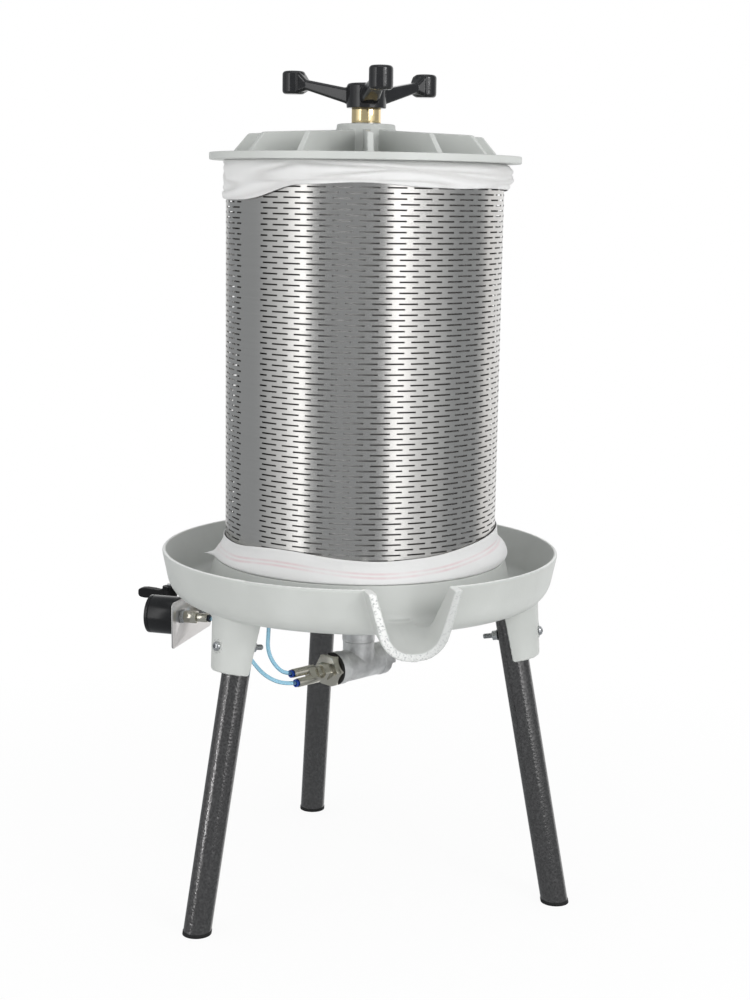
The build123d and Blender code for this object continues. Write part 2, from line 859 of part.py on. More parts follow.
for place, (x, y) in y_ports.items():
    save_release_ring(plane_at(y_face, x, y), f"release_ring_{place}")

# Panel: a stainless sheet with a tab bent under the tray
panel_face = side_plane(panel_azimuth, panel_distance, 0)
gauge_face = plane_at(panel_face, gauge_x, gauge_height)
valve_face = plane_at(panel_face, valve_x, valve_height)
stem_hole = stem_radius + pipe_fit
with BuildPart() as control_panel:
    with BuildSketch(panel_face):
        with Locations((0, (panel_bottom_height + panel_top_height) / 2)):
            RectangleRounded(panel_width, panel_top_height - panel_bottom_height, panel_corner)
        with Locations((0, (panel_bottom_height + tray_underside) / 2)):
            Rectangle(panel_tab_width, tray_underside - panel_bottom_height)
    extrude(amount=-panel_sheet)
    with BuildSketch(panel_tab_plane):
        Rectangle(panel_tab_width, panel_tab_reach)
    extrude(amount=panel_sheet)
    with BuildSketch(panel_tab_plane):
        with GridLocations(panel_screw_spacing, 0, 2, 1):
            Circle(panel_screw_radius + bolt_gap)
    extrude(amount=panel_sheet, mode=Mode.SUBTRACT)
    with BuildSketch(panel_face):
        with Locations((gauge_x, gauge_height), (valve_x, valve_height)):
            Circle(stem_hole)
    extrude(amount=-panel_sheet, mode=Mode.SUBTRACT)
save(control_panel, "control_panel")

with BuildPart() as panel_screws:
    with BuildSketch(panel_tab_plane.offset(panel_sheet)):
        with GridLocations(panel_screw_spacing, 0, 2, 1):
            Circle(panel_screw_head_radius)
    extrude(amount=panel_screw_head_height)
    with BuildSketch(panel_tab_plane.offset(panel_sheet)):
        with GridLocations(panel_screw_spacing, 0, 2, 1):
            Circle(panel_screw_radius)
    extrude(amount=-panel_sheet - panel_screw_depth + bolt_gap)
save(panel_screws, "panel_screws")

# Gauge: case on the panel's outer face, stem through the panel
case_depth = gauge_depth - bezel_height
case_bore = gauge_radius - gauge_wall
with BuildPart() as gauge_case:
    with BuildSketch(gauge_face):
        Circle(gauge_radius)
    extrude(amount=case_depth)
    with BuildSketch(gauge_face.offset(gauge_back)):
        Circle(case_bore)
    extrude(amount=case_depth - gauge_back, mode=Mode.SUBTRACT)
    with BuildSketch(gauge_face):
        Circle(stem_hole)
    extrude(amount=gauge_back, mode=Mode.SUBTRACT)
save(gauge_case, "gauge_case")

with BuildPart() as gauge_bezel:
    with BuildSketch(gauge_face.offset(case_depth)):
        Circle(gauge_radius)
        Circle(case_bore, mode=Mode.SUBTRACT)
    extrude(amount=bezel_height)
    with BuildSketch(gauge_face.offset(gauge_depth)):
        Circle(case_bore)
        Circle(case_bore - bezel_lip, mode=Mode.SUBTRACT)
    extrude(amount=-bezel_lip_height)
    fillet(gauge_bezel.edges().filter_by(GeomType.CIRCLE).group_by(SortBy.RADIUS)[-1][-1], bezel_lip_height)
save(gauge_bezel, "gauge_bezel")

with BuildPart() as gauge_lens:
    with BuildSketch(gauge_face.offset(gauge_depth - bezel_lip_height)):
        Circle(case_bore - lens_gap)
    extrude(amount=-lens_height)
save(gauge_lens, "gauge_lens")

with BuildPart() as gauge_dial:
    with BuildSketch(gauge_face.offset(dial_level)):
        Circle(case_bore - lens_gap)
        Circle(arbor_radius + arbor_gap, mode=Mode.SUBTRACT)
    extrude(amount=dial_height)
save(gauge_dial, "gauge_dial")

movement_level = gauge_back + stem_block_height
with BuildPart() as gauge_movement:
    with BuildSketch(gauge_face.offset(movement_level)):
        Rectangle(movement_width, movement_width)
        Circle(arbor_radius + arbor_gap, mode=Mode.SUBTRACT)
    extrude(amount=movement_height)
    with BuildSketch(gauge_face.offset(movement_level + movement_height)):
        with GridLocations(movement_pillar_spacing, movement_pillar_spacing, 2, 2):
            Circle(movement_pillar_radius)
    extrude(amount=dial_level - movement_level - movement_height)
save(gauge_movement, "gauge_movement")

pointer_level = dial_level + dial_height + pointer_lift
with BuildPart() as gauge_pointer:
    with BuildSketch(gauge_face.offset(pointer_level)):
        with Locations(Location((0, 0), pointer_rest_turn)):
            Polygon(
                (-pointer_half_width, -pointer_tail),
                (pointer_half_width, -pointer_tail),
                (pointer_tip_half_width, pointer_length),
                (-pointer_tip_half_width, pointer_length),
                align=None,
            )
        Circle(pointer_boss_radius)
    extrude(amount=pointer_height)
    with BuildSketch(gauge_face.offset(movement_level + arbor_gap)):
        Circle(arbor_radius)
    extrude(amount=pointer_level - movement_level)
save(gauge_pointer, "gauge_pointer")

bourdon_angle = radians(bourdon_start - 90)
bourdon_side = gauge_face.x_dir * cos(bourdon_angle) + gauge_face.y_dir * sin(bourdon_angle)
bourdon_centre = gauge_face.from_local_coords((0, 0, gauge_back + stem_block_height / 2))
bourdon_normal = bourdon_side.cross(gauge_face.z_dir)
with BuildPart() as bourdon_tube:
    with BuildSketch(Plane(origin=bourdon_centre, x_dir=bourdon_side, z_dir=bourdon_normal)):
        with Locations((bourdon_radius, 0)):
            Circle(bourdon_tube_radius)
    revolve(axis=Axis(bourdon_centre, gauge_face.z_dir), revolution_arc=bourdon_arc)
save(bourdon_tube, "bourdon_tube")

stem_run = panel_sheet + panel_nut_height + adapter_thread_depth
with BuildPart() as gauge_stem:
    with BuildSketch(gauge_face.offset(-stem_run)):
        Circle(stem_radius)
    extrude(amount=stem_run + gauge_back)
    with BuildSketch(gauge_face.offset(gauge_back)):
        with Locations((0, (stem_radius - stem_block_reach) / 2)):
            Rectangle(stem_block_width, stem_radius + stem_block_reach)
    extrude(amount=stem_block_height)
    with BuildSketch(gauge_face.offset(-stem_run)):
        Circle(stem_bore_radius)
    extrude(amount=stem_run + gauge_back + stem_block_height / 2, mode=Mode.SUBTRACT)
save(gauge_stem, "gauge_stem")


def save_tube_end(face, name):
    """Lock nut, adapter, push-in fitting and release ring behind the panel, on one threaded stem."""
    inside = Plane(origin=face.origin, x_dir=-face.x_dir, z_dir=-face.z_dir)
    nut_seat = inside.offset(panel_sheet)
    adapter_seat = nut_seat.offset(panel_nut_height)
    push_in_seat = adapter_seat.offset(adapter_length)
    port = push_in_seat.offset(push_in_length)
    with BuildPart() as lock_nut:
        with BuildSketch(nut_seat):
            RegularPolygon(panel_nut_across / 2, 6, major_radius=False)
            Circle(stem_hole, mode=Mode.SUBTRACT)
        extrude(amount=panel_nut_height)
    save(lock_nut, f"{name}_lock_nut")

    with BuildPart() as adapter:
        with BuildSketch(adapter_seat):
            RegularPolygon(adapter_across / 2, 6, major_radius=False)
            Circle(stem_bore_radius, mode=Mode.SUBTRACT)
        extrude(amount=adapter_length)
        with BuildSketch(adapter_seat):
            Circle(stem_hole)
        extrude(amount=adapter_thread_depth, mode=Mode.SUBTRACT)
        with BuildSketch(push_in_seat):
            Circle(push_in_spigot_radius + pipe_fit)
        extrude(amount=-push_in_spigot_length, mode=Mode.SUBTRACT)
    save(adapter, f"{name}_adapter")

    with BuildPart() as push_in:
        with BuildSketch(push_in_seat):
            Circle(push_in_radius)
        extrude(amount=push_in_length)
        with BuildSketch(push_in_seat):
            Circle(push_in_spigot_radius)
        extrude(amount=-push_in_spigot_length)
        with BuildSketch(port):
            Circle(ring_hole)
        extrude(amount=-ring_hole_depth - ring_travel, mode=Mode.SUBTRACT)
        with BuildSketch(port):
            Circle(tube_hole)
        extrude(amount=-tube_seat_depth, mode=Mode.SUBTRACT)
        with BuildSketch(port):
            Circle(air_tube_bore_radius)
        extrude(amount=-push_in_length - push_in_spigot_length, mode=Mode.SUBTRACT)
    save(push_in, f"{name}_push_in")
    save_release_ring(port, f"release_ring_{name}")


save_tube_end(gauge_face, "gauge")
save_tube_end(valve_face, "valve")

# Valve: bulkhead fitting through the panel, body with ball, stem and hand lever
with BuildPart() as valve_bulkhead:
    with BuildSketch(valve_face.offset(-stem_run)):
        Circle(stem_radius)
    extrude(amount=stem_run)
    with BuildSketch(valve_face):
        RegularPolygon(bulkhead_across / 2, 6, major_radius=False)
    extrude(amount=bulkhead_length)
    with BuildSketch(valve_face.offset(-stem_run)):
        Circle(stem_bore_radius)
    extrude(amount=stem_run + bulkhead_length, mode=Mode.SUBTRACT)
    with BuildSketch(valve_face.offset(bulkhead_length)):
        Circle(stem_hole)
    extrude(amount=-valve_spigot_length, mode=Mode.SUBTRACT)
save(valve_bulkhead, "valve_bulkhead")

valve_seat = valve_face.offset(bulkhead_length)
valve_centre = valve_face.from_local_coords((0, 0, valve_ball_at))
valve_upright = Plane(origin=valve_centre, x_dir=valve_face.z_dir, z_dir=(0, 0, 1))
lever_bottom = lever_height - lever_thickness / 2
lever_plane = valve_upright.offset(lever_bottom - valve_height)
with BuildPart() as valve_body:
    with BuildSketch(valve_seat):
        RegularPolygon(valve_across / 2, 6, major_radius=False)
    extrude(amount=valve_length)
    with BuildSketch(valve_seat):
        Circle(stem_radius)
    extrude(amount=-valve_spigot_length)
    with BuildSketch(valve_upright):
        Circle(valve_boss_radius)
    extrude(amount=lever_bottom - valve_height - lever_clearance)
    with BuildSketch(valve_seat.offset(-valve_spigot_length)):
        Circle(valve_bore_radius)
    extrude(amount=valve_spigot_length + valve_length, mode=Mode.SUBTRACT)
    with BuildSketch(valve_seat.offset(valve_length)):
        Circle(inlet_radius)
    extrude(amount=-inlet_depth, mode=Mode.SUBTRACT)
    with Locations(valve_upright):
        Sphere(ball_radius + ball_gap, mode=Mode.SUBTRACT)
    with BuildSketch(valve_upright):
        Circle(valve_stem_radius + valve_stem_gap)
    extrude(amount=lever_bottom - valve_height, mode=Mode.SUBTRACT)
save(valve_body, "valve_body")

with BuildPart() as valve_ball:
    with Locations(valve_upright):
        Sphere(ball_radius)
    split(bisect_by=valve_upright.offset(ball_flat), keep=Keep.BOTTOM)
    with BuildSketch(plane_at(valve_face, 0, 0).offset(valve_ball_at - ball_radius)):
        Circle(valve_bore_radius)
    extrude(amount=2 * ball_radius, mode=Mode.SUBTRACT)
save(valve_ball, "valve_ball")

lever_hub_height = lever_thickness / 2 + lever_hub_rise
with BuildPart() as valve_stem:
    with BuildSketch(valve_upright.offset(ball_flat)):
        Circle(valve_stem_radius)
    extrude(amount=lever_bottom + lever_hub_height + lever_nut_height - valve_height - ball_flat)
save(valve_stem, "valve_stem")

lever_length = lever_reach + lever_width / 2
with BuildPart() as valve_lever:
    with BuildSketch(lever_plane):
        Circle(lever_hub_radius)
    extrude(amount=lever_hub_height)
    with BuildSketch(lever_plane):
        with Locations((lever_reach - lever_length / 2, 0)):
            SlotOverall(lever_length, lever_width)
    extrude(amount=lever_thickness)
    with BuildSketch(lever_plane.offset(lever_hub_height)):
        with PolarLocations(lever_hub_radius, lever_ridge_count):
            Circle(lever_ridge_radius)
    extrude(amount=-lever_ridge_height)
    with BuildSketch(lever_plane):
        Circle(valve_stem_radius + pipe_fit)
    extrude(amount=lever_hub_height, mode=Mode.SUBTRACT)
save(valve_lever, "valve_lever")

with BuildPart() as lever_nut:
    with BuildSketch(lever_plane.offset(lever_hub_height)):
        RegularPolygon(lever_nut_across / 2, 6, major_radius=False)
        Circle(valve_stem_radius + pipe_fit, mode=Mode.SUBTRACT)
    extrude(amount=lever_nut_height)
save(lever_nut, "lever_nut")


# Air tubes: straight runs joined by arcs as large as the runs allow
def save_air_tube(route, name):
    """Hollow tube along a route, with the bend radii printed and the volume compared."""
    points = [Vector(*point) for point in route]
    bends = []
    for before, corner, after in zip(points, points[1:], points[2:]):
        half_turn = radians((corner - before).get_angle(after - corner)) / 2
        shorter = min((corner - before).length, (after - corner).length)
        bends.append(bend_share * shorter / tan(half_turn))
    with BuildPart() as air_tube:
        with BuildLine() as path:
            FilletPolyline(*points, radius=bends)
        with BuildSketch(Plane(origin=points[0], z_dir=points[1] - points[0])):
            Circle(air_tube_radius)
            Circle(air_tube_bore_radius, mode=Mode.SUBTRACT)
        sweep()
    section = pi * (air_tube_radius**2 - air_tube_bore_radius**2)
    length = path.wire().length
    print(name, "bends", [round(bend) for bend in bends], "length", round(length))
    print(name, "volume", round(air_tube.part.volume), "section by length", round(section * length))
    save(air_tube, name)


save_air_tube(valve_tube_route, "air_tube_valve")
save_air_tube(gauge_tube_route, "air_tube_gauge")
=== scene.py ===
# %% [markdown]
# # A compressed-air fruit press
#
# The press stands on three splayed legs. A slotted steel basket, lined with a white cloth bag, stands in a cast
# tray with a spout. A ribbed lid is screwed down on it by a black handle, and under the tray a tee, two blue air
# tubes, a gauge and a hand valve bring the air in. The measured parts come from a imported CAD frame, in metres.
# This lesson gives them their looks: it keeps the parts whose shape is right, and models the rest anew.

# %% Load the measured frame
import json
import math

import bmesh
import bpy
import numpy as np
from mathutils import Matrix, Vector, noise

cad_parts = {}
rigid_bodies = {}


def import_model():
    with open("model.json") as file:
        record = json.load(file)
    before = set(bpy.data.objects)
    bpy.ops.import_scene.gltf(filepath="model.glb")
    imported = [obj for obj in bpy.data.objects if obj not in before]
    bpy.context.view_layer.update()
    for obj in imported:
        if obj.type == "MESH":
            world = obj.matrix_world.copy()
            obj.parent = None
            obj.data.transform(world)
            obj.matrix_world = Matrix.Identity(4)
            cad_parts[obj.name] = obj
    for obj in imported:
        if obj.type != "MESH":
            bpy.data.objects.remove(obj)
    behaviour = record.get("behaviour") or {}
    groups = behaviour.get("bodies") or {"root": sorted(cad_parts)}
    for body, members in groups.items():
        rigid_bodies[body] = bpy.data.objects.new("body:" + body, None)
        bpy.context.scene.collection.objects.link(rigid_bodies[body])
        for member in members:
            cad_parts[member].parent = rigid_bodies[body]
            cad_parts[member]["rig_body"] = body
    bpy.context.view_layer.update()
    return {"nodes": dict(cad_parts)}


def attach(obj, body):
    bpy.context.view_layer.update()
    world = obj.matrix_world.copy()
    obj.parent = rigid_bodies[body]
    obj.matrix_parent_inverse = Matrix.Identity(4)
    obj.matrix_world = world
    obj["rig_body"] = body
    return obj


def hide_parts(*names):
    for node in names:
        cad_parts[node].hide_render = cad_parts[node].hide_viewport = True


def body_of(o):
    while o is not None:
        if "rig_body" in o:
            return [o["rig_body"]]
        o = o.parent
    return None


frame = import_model()
nodes = frame["nodes"]

# %% [markdown]
# ## The camera
#
# The camera's place was worked out from the circles of the basket, tray and lid as they appear in a picture: a
# long lens, a little above the middle of the press, looking ten degrees down. The turns are applied one after the
# other: first up from looking at the floor, then round to face the press, with a small roll at the start. The
# sensor's width counts along the longer side of the picture, so the lens follows from the picture's height.

# %% Camera
picture_height = 1000
focal_pixels = 1742.7
sensor = 36.0
camera_distance = 2.5504
camera_height = 1.0397
camera_azimuth = math.radians(14.0)
camera_yaw = math.radians(0.48)
camera_pitch = math.radians(9.985)
camera_roll = math.radians(0.915)

camera_data = bpy.data.cameras.new("camera")
camera_data.sensor_width = sensor
camera_data.lens = sensor * focal_pixels / picture_height
camera = bpy.data.objects.new("camera", camera_data)
bpy.context.scene.collection.objects.link(camera)
turn = Matrix.Rotation(-camera_azimuth - camera_yaw, 4, "Z")
tilt = Matrix.Rotation(math.pi / 2 - camera_pitch, 4, "X")
roll = Matrix.Rotation(camera_roll, 4, "Z")
spot = Vector((-math.sin(camera_azimuth), -math.cos(camera_azimuth), 0)) * camera_distance
spot.z = camera_height
camera.matrix_world = Matrix.Translation(spot) @ turn @ tilt @ roll
bpy.context.scene.camera = camera
bpy.context.scene.view_settings.view_transform = "Standard"
print("lens", round(camera_data.lens, 1), "mm at", tuple(round(v, 3) for v in spot))

# %% [markdown]
# ## Working by hand
#
# Each new piece starts as a primitive and is shaped with the tools of edit mode. Those tools act on whatever is
# selected, so a few small helpers put everything down first, pick one piece up, and select by place.

# %% Helpers for modelling


def put_down():
    """Leave edit mode and deselect everything."""
    active = bpy.context.view_layer.objects.active
    if active and active.mode != "OBJECT":
        bpy.ops.object.mode_set(mode="OBJECT")
    bpy.ops.object.select_all(action="DESELECT")


def pick_up(piece):
    """Make one piece the only selected one."""
    put_down()
    piece.select_set(True)
    bpy.context.view_layer.objects.active = piece
    return piece


def start(name):
    """Name the primitive that was just added."""
    piece = bpy.context.view_layer.objects.active
    piece.name = piece.data.name = name
    return piece


def edit(piece, mode="FACE"):
    """Open one piece in edit mode with nothing selected."""
    pick_up(piece)
    bpy.ops.object.mode_set(mode="EDIT")
    bpy.ops.mesh.select_mode(type=mode)
    bpy.ops.mesh.select_all(action="DESELECT")


def pick(piece, test, kind="faces"):
    """In edit mode, select the faces, edges or vertices whose place passes a test."""
    mesh = bmesh.from_edit_mesh(piece.data)
    for item in getattr(mesh, kind):
        corners = [item.co] if kind == "verts" else [corner.co for corner in item.verts]
        item.select_set(bool(test(sum(corners, Vector()) / len(corners), item)))
    mesh.select_flush_mode()
    bmesh.update_edit_mesh(piece.data)


def extrude(x=0, y=0, z=0):
    """Extrude what is selected by a step."""
    bpy.ops.mesh.extrude_region_move(TRANSFORM_OT_translate={"value": (x, y, z)})


def move(x=0, y=0, z=0):
    """Move what is selected by a step."""
    bpy.ops.transform.translate(value=(x, y, z))


def modify(piece, kind, **settings):
    """Add a modifier, set it and apply it."""
    pick_up(piece)
    modifier = piece.modifiers.new(kind.lower(), kind)
    for name, value in settings.items():
        setattr(modifier, name, value)
    bpy.ops.object.modifier_apply(modifier=modifier.name)


def settle(piece):
    """Put a piece's place, turn and size into its mesh."""
    pick_up(piece)
    bpy.ops.object.transform_apply(location=True, rotation=True, scale=True)
    return piece


def join(name, pieces):
    """Join several pieces into one."""
    put_down()
    for piece in pieces:
        piece.select_set(True)
    bpy.context.view_layer.objects.active = pieces[0]
    bpy.ops.object.join()
    return settle(start(name))


def smooth(piece, degrees=35):
    """Shade smooth, except across sharper edges."""
    pick_up(piece)
    bpy.ops.object.shade_smooth_by_angle(angle=math.radians(degrees))
    return piece


def tidy_mesh(piece, gap=1e-6):
    """Merge doubled points and turn all faces outward."""
    edit(piece)
    bpy.ops.mesh.select_all(action="SELECT")
    bpy.ops.mesh.remove_doubles(threshold=gap)
    bpy.ops.mesh.normals_make_consistent(inside=False)
    put_down()
    return piece


def draw_profile(name, profile):
    """Draw a line of (radius, height) points beside the press axis, and leave it open in edit mode."""
    put_down()
    bpy.ops.mesh.primitive_plane_add(size=0.001)
    piece = start(name)
    edit(piece, "VERT")
    bpy.ops.mesh.select_all(action="SELECT")
    bpy.ops.mesh.merge(type="CENTER")
    move(x=profile[0][0], z=profile[0][1])
    for (r0, z0), (r1, z1) in zip(profile, profile[1:]):
        bpy.ops.mesh.extrude_vertices_move(TRANSFORM_OT_translate={"value": (r1 - r0, 0, z1 - z0)})
    return piece


def lathe(name, profile, steps):
    """Spin a profile round the press axis."""
    piece = draw_profile(name, profile)
    bpy.ops.mesh.select_all(action="SELECT")
    bpy.ops.mesh.spin(steps=steps, angle=2 * math.pi, center=(0, 0, 0), axis=(0, 0, 1))
    return tidy_mesh(piece)


def read_points(piece):
    """All points of a piece's mesh as an array."""
    points = np.zeros(len(piece.data.vertices) * 3)
    piece.data.vertices.foreach_get("co", points)
    return points.reshape(-1, 3)


def write_points(piece, points):
    """Give a piece's mesh new places for its points."""
    piece.data.vertices.foreach_set("co", np.asarray(points, float).ravel())
    piece.data.update()


def faces_of(piece):
    """How many faces a piece has, for the printed notes."""
    return f"{piece.name}: {len(piece.data.polygons)} faces"


# %% [markdown]
# ## Finishes as expressions
#
# A finish is a node tree, but the maths inside it reads better as Python. `Wire` stands for the output of a node.
# Adding, multiplying or comparing wires adds Math nodes, and `node` makes any other kind: its settings are set
# first, then the values or links of its sockets. Patterns read Object coordinates, which are metres here because
# every piece sits at the origin.

# %% Shader maths


class Wire:
    """An output of a node, with arithmetic."""

    def __init__(self, finish, socket):
        self.finish = finish
        self.socket = socket

    def maths(self, operation, first, second):
        return self.finish.node("Math", {"operation": operation}, {0: first, 1: second})

    def __add__(self, other):
        return self.maths("ADD", self, other)

    def __radd__(self, other):
        return self.maths("ADD", other, self)

    def __sub__(self, other):
        return self.maths("SUBTRACT", self, other)

    def __rsub__(self, other):
        return self.maths("SUBTRACT", other, self)

    def __mul__(self, other):
        return self.maths("MULTIPLY", self, other)

    def __rmul__(self, other):
        return self.maths("MULTIPLY", other, self)

    def __lt__(self, other):
        return self.maths("LESS_THAN", self, other)

    def __gt__(self, other):
        return self.maths("GREATER_THAN", self, other)


class Finish:
    """A material with one Principled shader, built from wires."""

    def __init__(self, name, **constants):
        self.material = bpy.data.materials.new(name)
        self.material.use_nodes = True
        self.tree = self.material.node_tree
        self.shader = self.tree.nodes["Principled BSDF"]
        for socket, value in constants.items():
            self.shader.inputs[socket.replace("_", " ")].default_value = value

    def node(self, kind, settings=None, inputs=None, out=0):
        node = self.tree.nodes.new("ShaderNode" + kind)
        for name, value in (settings or {}).items():
            setattr(node, name, value)
        for key, value in (inputs or {}).items():
            self.plug(node.inputs[key], value)
        return Wire(self, node.outputs[out])

    def plug(self, socket, value):
        if isinstance(value, Wire):
            self.tree.links.new(value.socket, socket)
        else:
            socket.default_value = value

    def set(self, **inputs):
        for name, value in inputs.items():
            self.plug(self.shader.inputs[name.replace("_", " ")], value)
        return self

    def place(self):
        return self.node("TexCoord", out="Object")

    def axes(self):
        """The x, y and z of a point, as three wires."""
        split = self.node("SeparateXYZ", inputs={0: self.place()}).socket.node
        return [Wire(self, output) for output in split.outputs]

    def noise(self, scale, detail=4.0, roughness=0.55, stretch=(1, 1, 1)):
        where = self.node("Mapping", inputs={"Vector": self.place(), "Scale": stretch})
        return self.node("TexNoise", inputs={"Vector": where, "Scale": scale, "Detail": detail,
                                             "Roughness": roughness})

    def cells(self, scale, feature="F1"):
        return self.node("TexVoronoi", {"feature": feature}, {"Vector": self.place(), "Scale": scale})

    def spread(self, value, low, high, to_low=0.0, to_high=1.0):
        """Map a range of one value to another range, kept within it."""
        return self.node("MapRange", {"clamp": True}, {0: value, 1: low, 2: high, 3: to_low, 4: to_high})

    def mix(self, share, first, second):
        first, second = [(*c, 1) if isinstance(c, tuple) and len(c) == 3 else c for c in (first, second)]
        return self.node("Mix", {"data_type": "RGBA"}, {0: share, 6: first, 7: second}, out=2)

    def bump(self, height, depth, strength=1.0):
        """Surface relief of a depth in metres."""
        relief = self.node("Bump", inputs={"Strength": strength, "Distance": depth, "Height": height})
        return self.set(Normal=relief)


def paint(finish, *pieces):
    """Give pieces or CAD nodes a finish."""
    for piece in pieces:
        target = nodes[piece] if isinstance(piece, str) else piece
        target.data.materials.clear()
        target.data.materials.append(finish.material)


# %% [markdown]
# ## Light
#
# Polished steel shows its surroundings, so the studio is built for what it reflects: a tall soft light on each
# side of the camera makes the two bright bands on the basket, the grey room between and beside them makes the dark
# ones, and the white backdrop behind the press makes its edges bright. The lamps are large and weak, so that a
# colour comes out about as it is written. Three more lamps only fill the shadows: they are hidden from reflections,
# or the steel would show them as more bands. A narrow strip near the floor lights nothing but the legs, which would
# otherwise sink into one black. The world has three faces: white for the camera, the grey room for reflections, and
# an even pale grey for the soft light on matt surfaces.

# %% Studio


def studio_place(angle, distance, height):
    """A place seen from the press at an angle from the camera's direction, positive to the camera's right."""
    direction = camera_azimuth - math.radians(angle)
    return Vector((-math.sin(direction) * distance, -math.cos(direction) * distance, height))


def set_stops(ramp_node, stops):
    """Give a colour ramp its places and colours."""
    elements = ramp_node.color_ramp.elements
    while len(elements) < len(stops):
        elements.new(0.5)
    for element, (place, colour) in zip(elements, stops):
        element.position = place
        element.color = (*colour, 1)


def soft_light(name, angle, distance, height, width, tall, power, fade=None, aim=0.75):
    """A large soft lamp, aimed at a height on the press axis. A fade gives its level at places across it."""
    lamp = bpy.data.lights.new(name, "AREA")
    lamp.shape = "RECTANGLE"
    lamp.size = width
    lamp.size_y = tall
    lamp.energy = power
    if fade:
        lamp.use_nodes = True
        tree = lamp.node_tree
        across = tree.nodes.new("ShaderNodeNewGeometry")
        split = tree.nodes.new("ShaderNodeSeparateXYZ")
        ramp = tree.nodes.new("ShaderNodeValToRGB")
        ramp.color_ramp.interpolation = "EASE"
        set_stops(ramp, [(place, (level, level, level)) for place, level in fade])
        tree.links.new(across.outputs["Parametric"], split.inputs[0])
        tree.links.new(split.outputs["X"], ramp.inputs[0])
        tree.links.new(ramp.outputs[0], tree.nodes["Emission"].inputs["Strength"])
    holder = bpy.data.objects.new(name, lamp)
    bpy.context.scene.collection.objects.link(holder)
    holder.location = studio_place(angle, distance, height)
    holder.rotation_euler = (Vector((0, 0, aim)) - holder.location).to_track_quat("-Z", "Y").to_euler()
    holder.visible_camera = False
    return holder


soft_light("left_softbox", -66, 2.4, 1.15, 2.1, 2.6, 30, [(0.0, 0.05), (0.45, 0.25), (0.93, 1.0), (1.0, 0.9)])
soft_light("right_softbox", 48, 2.4, 1.15, 2.6, 2.6, 36, [(0.0, 0.9), (0.08, 1.0), (0.55, 0.25), (1.0, 0.03)])
soft_light("top_softbox", 10, 0.6, 3.0, 2.2, 2.2, 8)
soft_light("key_light", 42, 2.4, 1.75, 0.8, 0.8, 13)
for name, angle, power in (("fill_light", -10, 12), ("left_glow", -105, 8), ("right_glow", 110, 8)):
    soft_light(name, angle, 2.6, 1.2, 2.2, 2.0, power).visible_glossy = False
low_strip = soft_light("low_strip", -55, 1.6, 0.15, 0.05, 0.3, 0.6, aim=0.2)
low_strip.light_linking.receiver_collection = bpy.data.collections.new("legs")
for leg in ("leg_front_left", "leg_front_right", "leg_rear"):
    low_strip.light_linking.receiver_collection.objects.link(nodes[leg])

world = bpy.data.worlds.new("studio")
bpy.context.scene.world = world
world.use_nodes = True
sky = world.node_tree
background = sky.nodes["Background"]
direction = sky.nodes.new("ShaderNodeTexCoord")
behind = sky.nodes.new("ShaderNodeVectorMath")
behind.operation = "DOT_PRODUCT"
behind.inputs[1].default_value = studio_place(160, 1, 0)
sky.links.new(direction.outputs["Generated"], behind.inputs[0])
room = sky.nodes.new("ShaderNodeValToRGB")
set_stops(room, [(0.66, (0.345, 0.36, 0.372)), (0.82, (1, 1, 1))])
sky.links.new(behind.outputs["Value"], room.inputs[0])
ray = sky.nodes.new("ShaderNodeLightPath")
clear = sky.nodes.new("ShaderNodeMath")
clear.operation = "MAXIMUM"
sky.links.new(ray.outputs["Is Camera Ray"], clear.inputs[0])
sky.links.new(ray.outputs["Is Transmission Ray"], clear.inputs[1])
shown = sky.nodes.new("ShaderNodeMix")
shown.data_type = "RGBA"
shown.inputs[7].default_value = (1, 1, 1, 1)
sky.links.new(clear.outputs[0], shown.inputs[0])
around_all = sky.nodes.new("ShaderNodeMix")
around_all.data_type = "RGBA"
around_all.inputs[7].default_value = (0.60, 0.605, 0.61, 1)
sky.links.new(ray.outputs["Is Diffuse Ray"], around_all.inputs[0])
sky.links.new(room.outputs[0], around_all.inputs[6])
sky.links.new(around_all.outputs[2], shown.inputs[6])
sky.links.new(shown.outputs[2], background.inputs["Color"])

put_down()
bpy.ops.mesh.primitive_plane_add(size=14)
floor = start("floor")
floor_paint = Finish("floor_paint", Roughness=0.9)
floor_paint.set(Base_Color=floor_paint.mix(floor_paint.noise(3), (0.86, 0.86, 0.855), (0.9, 0.9, 0.895)))
away = floor_paint.node("VectorMath", {"operation": "LENGTH"}, {0: floor_paint.place()}, out="Value")
seen, through = [floor_paint.node("LightPath", out=kind) for kind in ("Is Camera Ray", "Is Transmission Ray")]
glow = (seen + through > 0.5) * floor_paint.spread(away, 0.35, 1.3, 0.92, 1.0)
white = floor_paint.node("Emission", inputs={"Color": (1, 1, 1, 1), "Strength": 1.0})
painted = Wire(floor_paint, floor_paint.shader.outputs[0])
blend = floor_paint.node("MixShader", inputs={0: glow, 1: painted, 2: white})
floor_paint.tree.links.new(blend.socket, floor_paint.tree.nodes["Material Output"].inputs["Surface"])
paint(floor_paint, floor)
floor.visible_glossy = False
print("studio with", len(bpy.data.lights), "soft lights")

# %% [markdown]
# ## The air tubes
#
# Two thin plastic tubes go from the Y fitting to the gauge and to the valve. A tube is a cord: one smooth curve of
# a fixed length. The points are the corners of its measured route, and a NURBS curve rounds them off without
# touching them. The order and the end points are set after the points are there, or the curve stays straight.

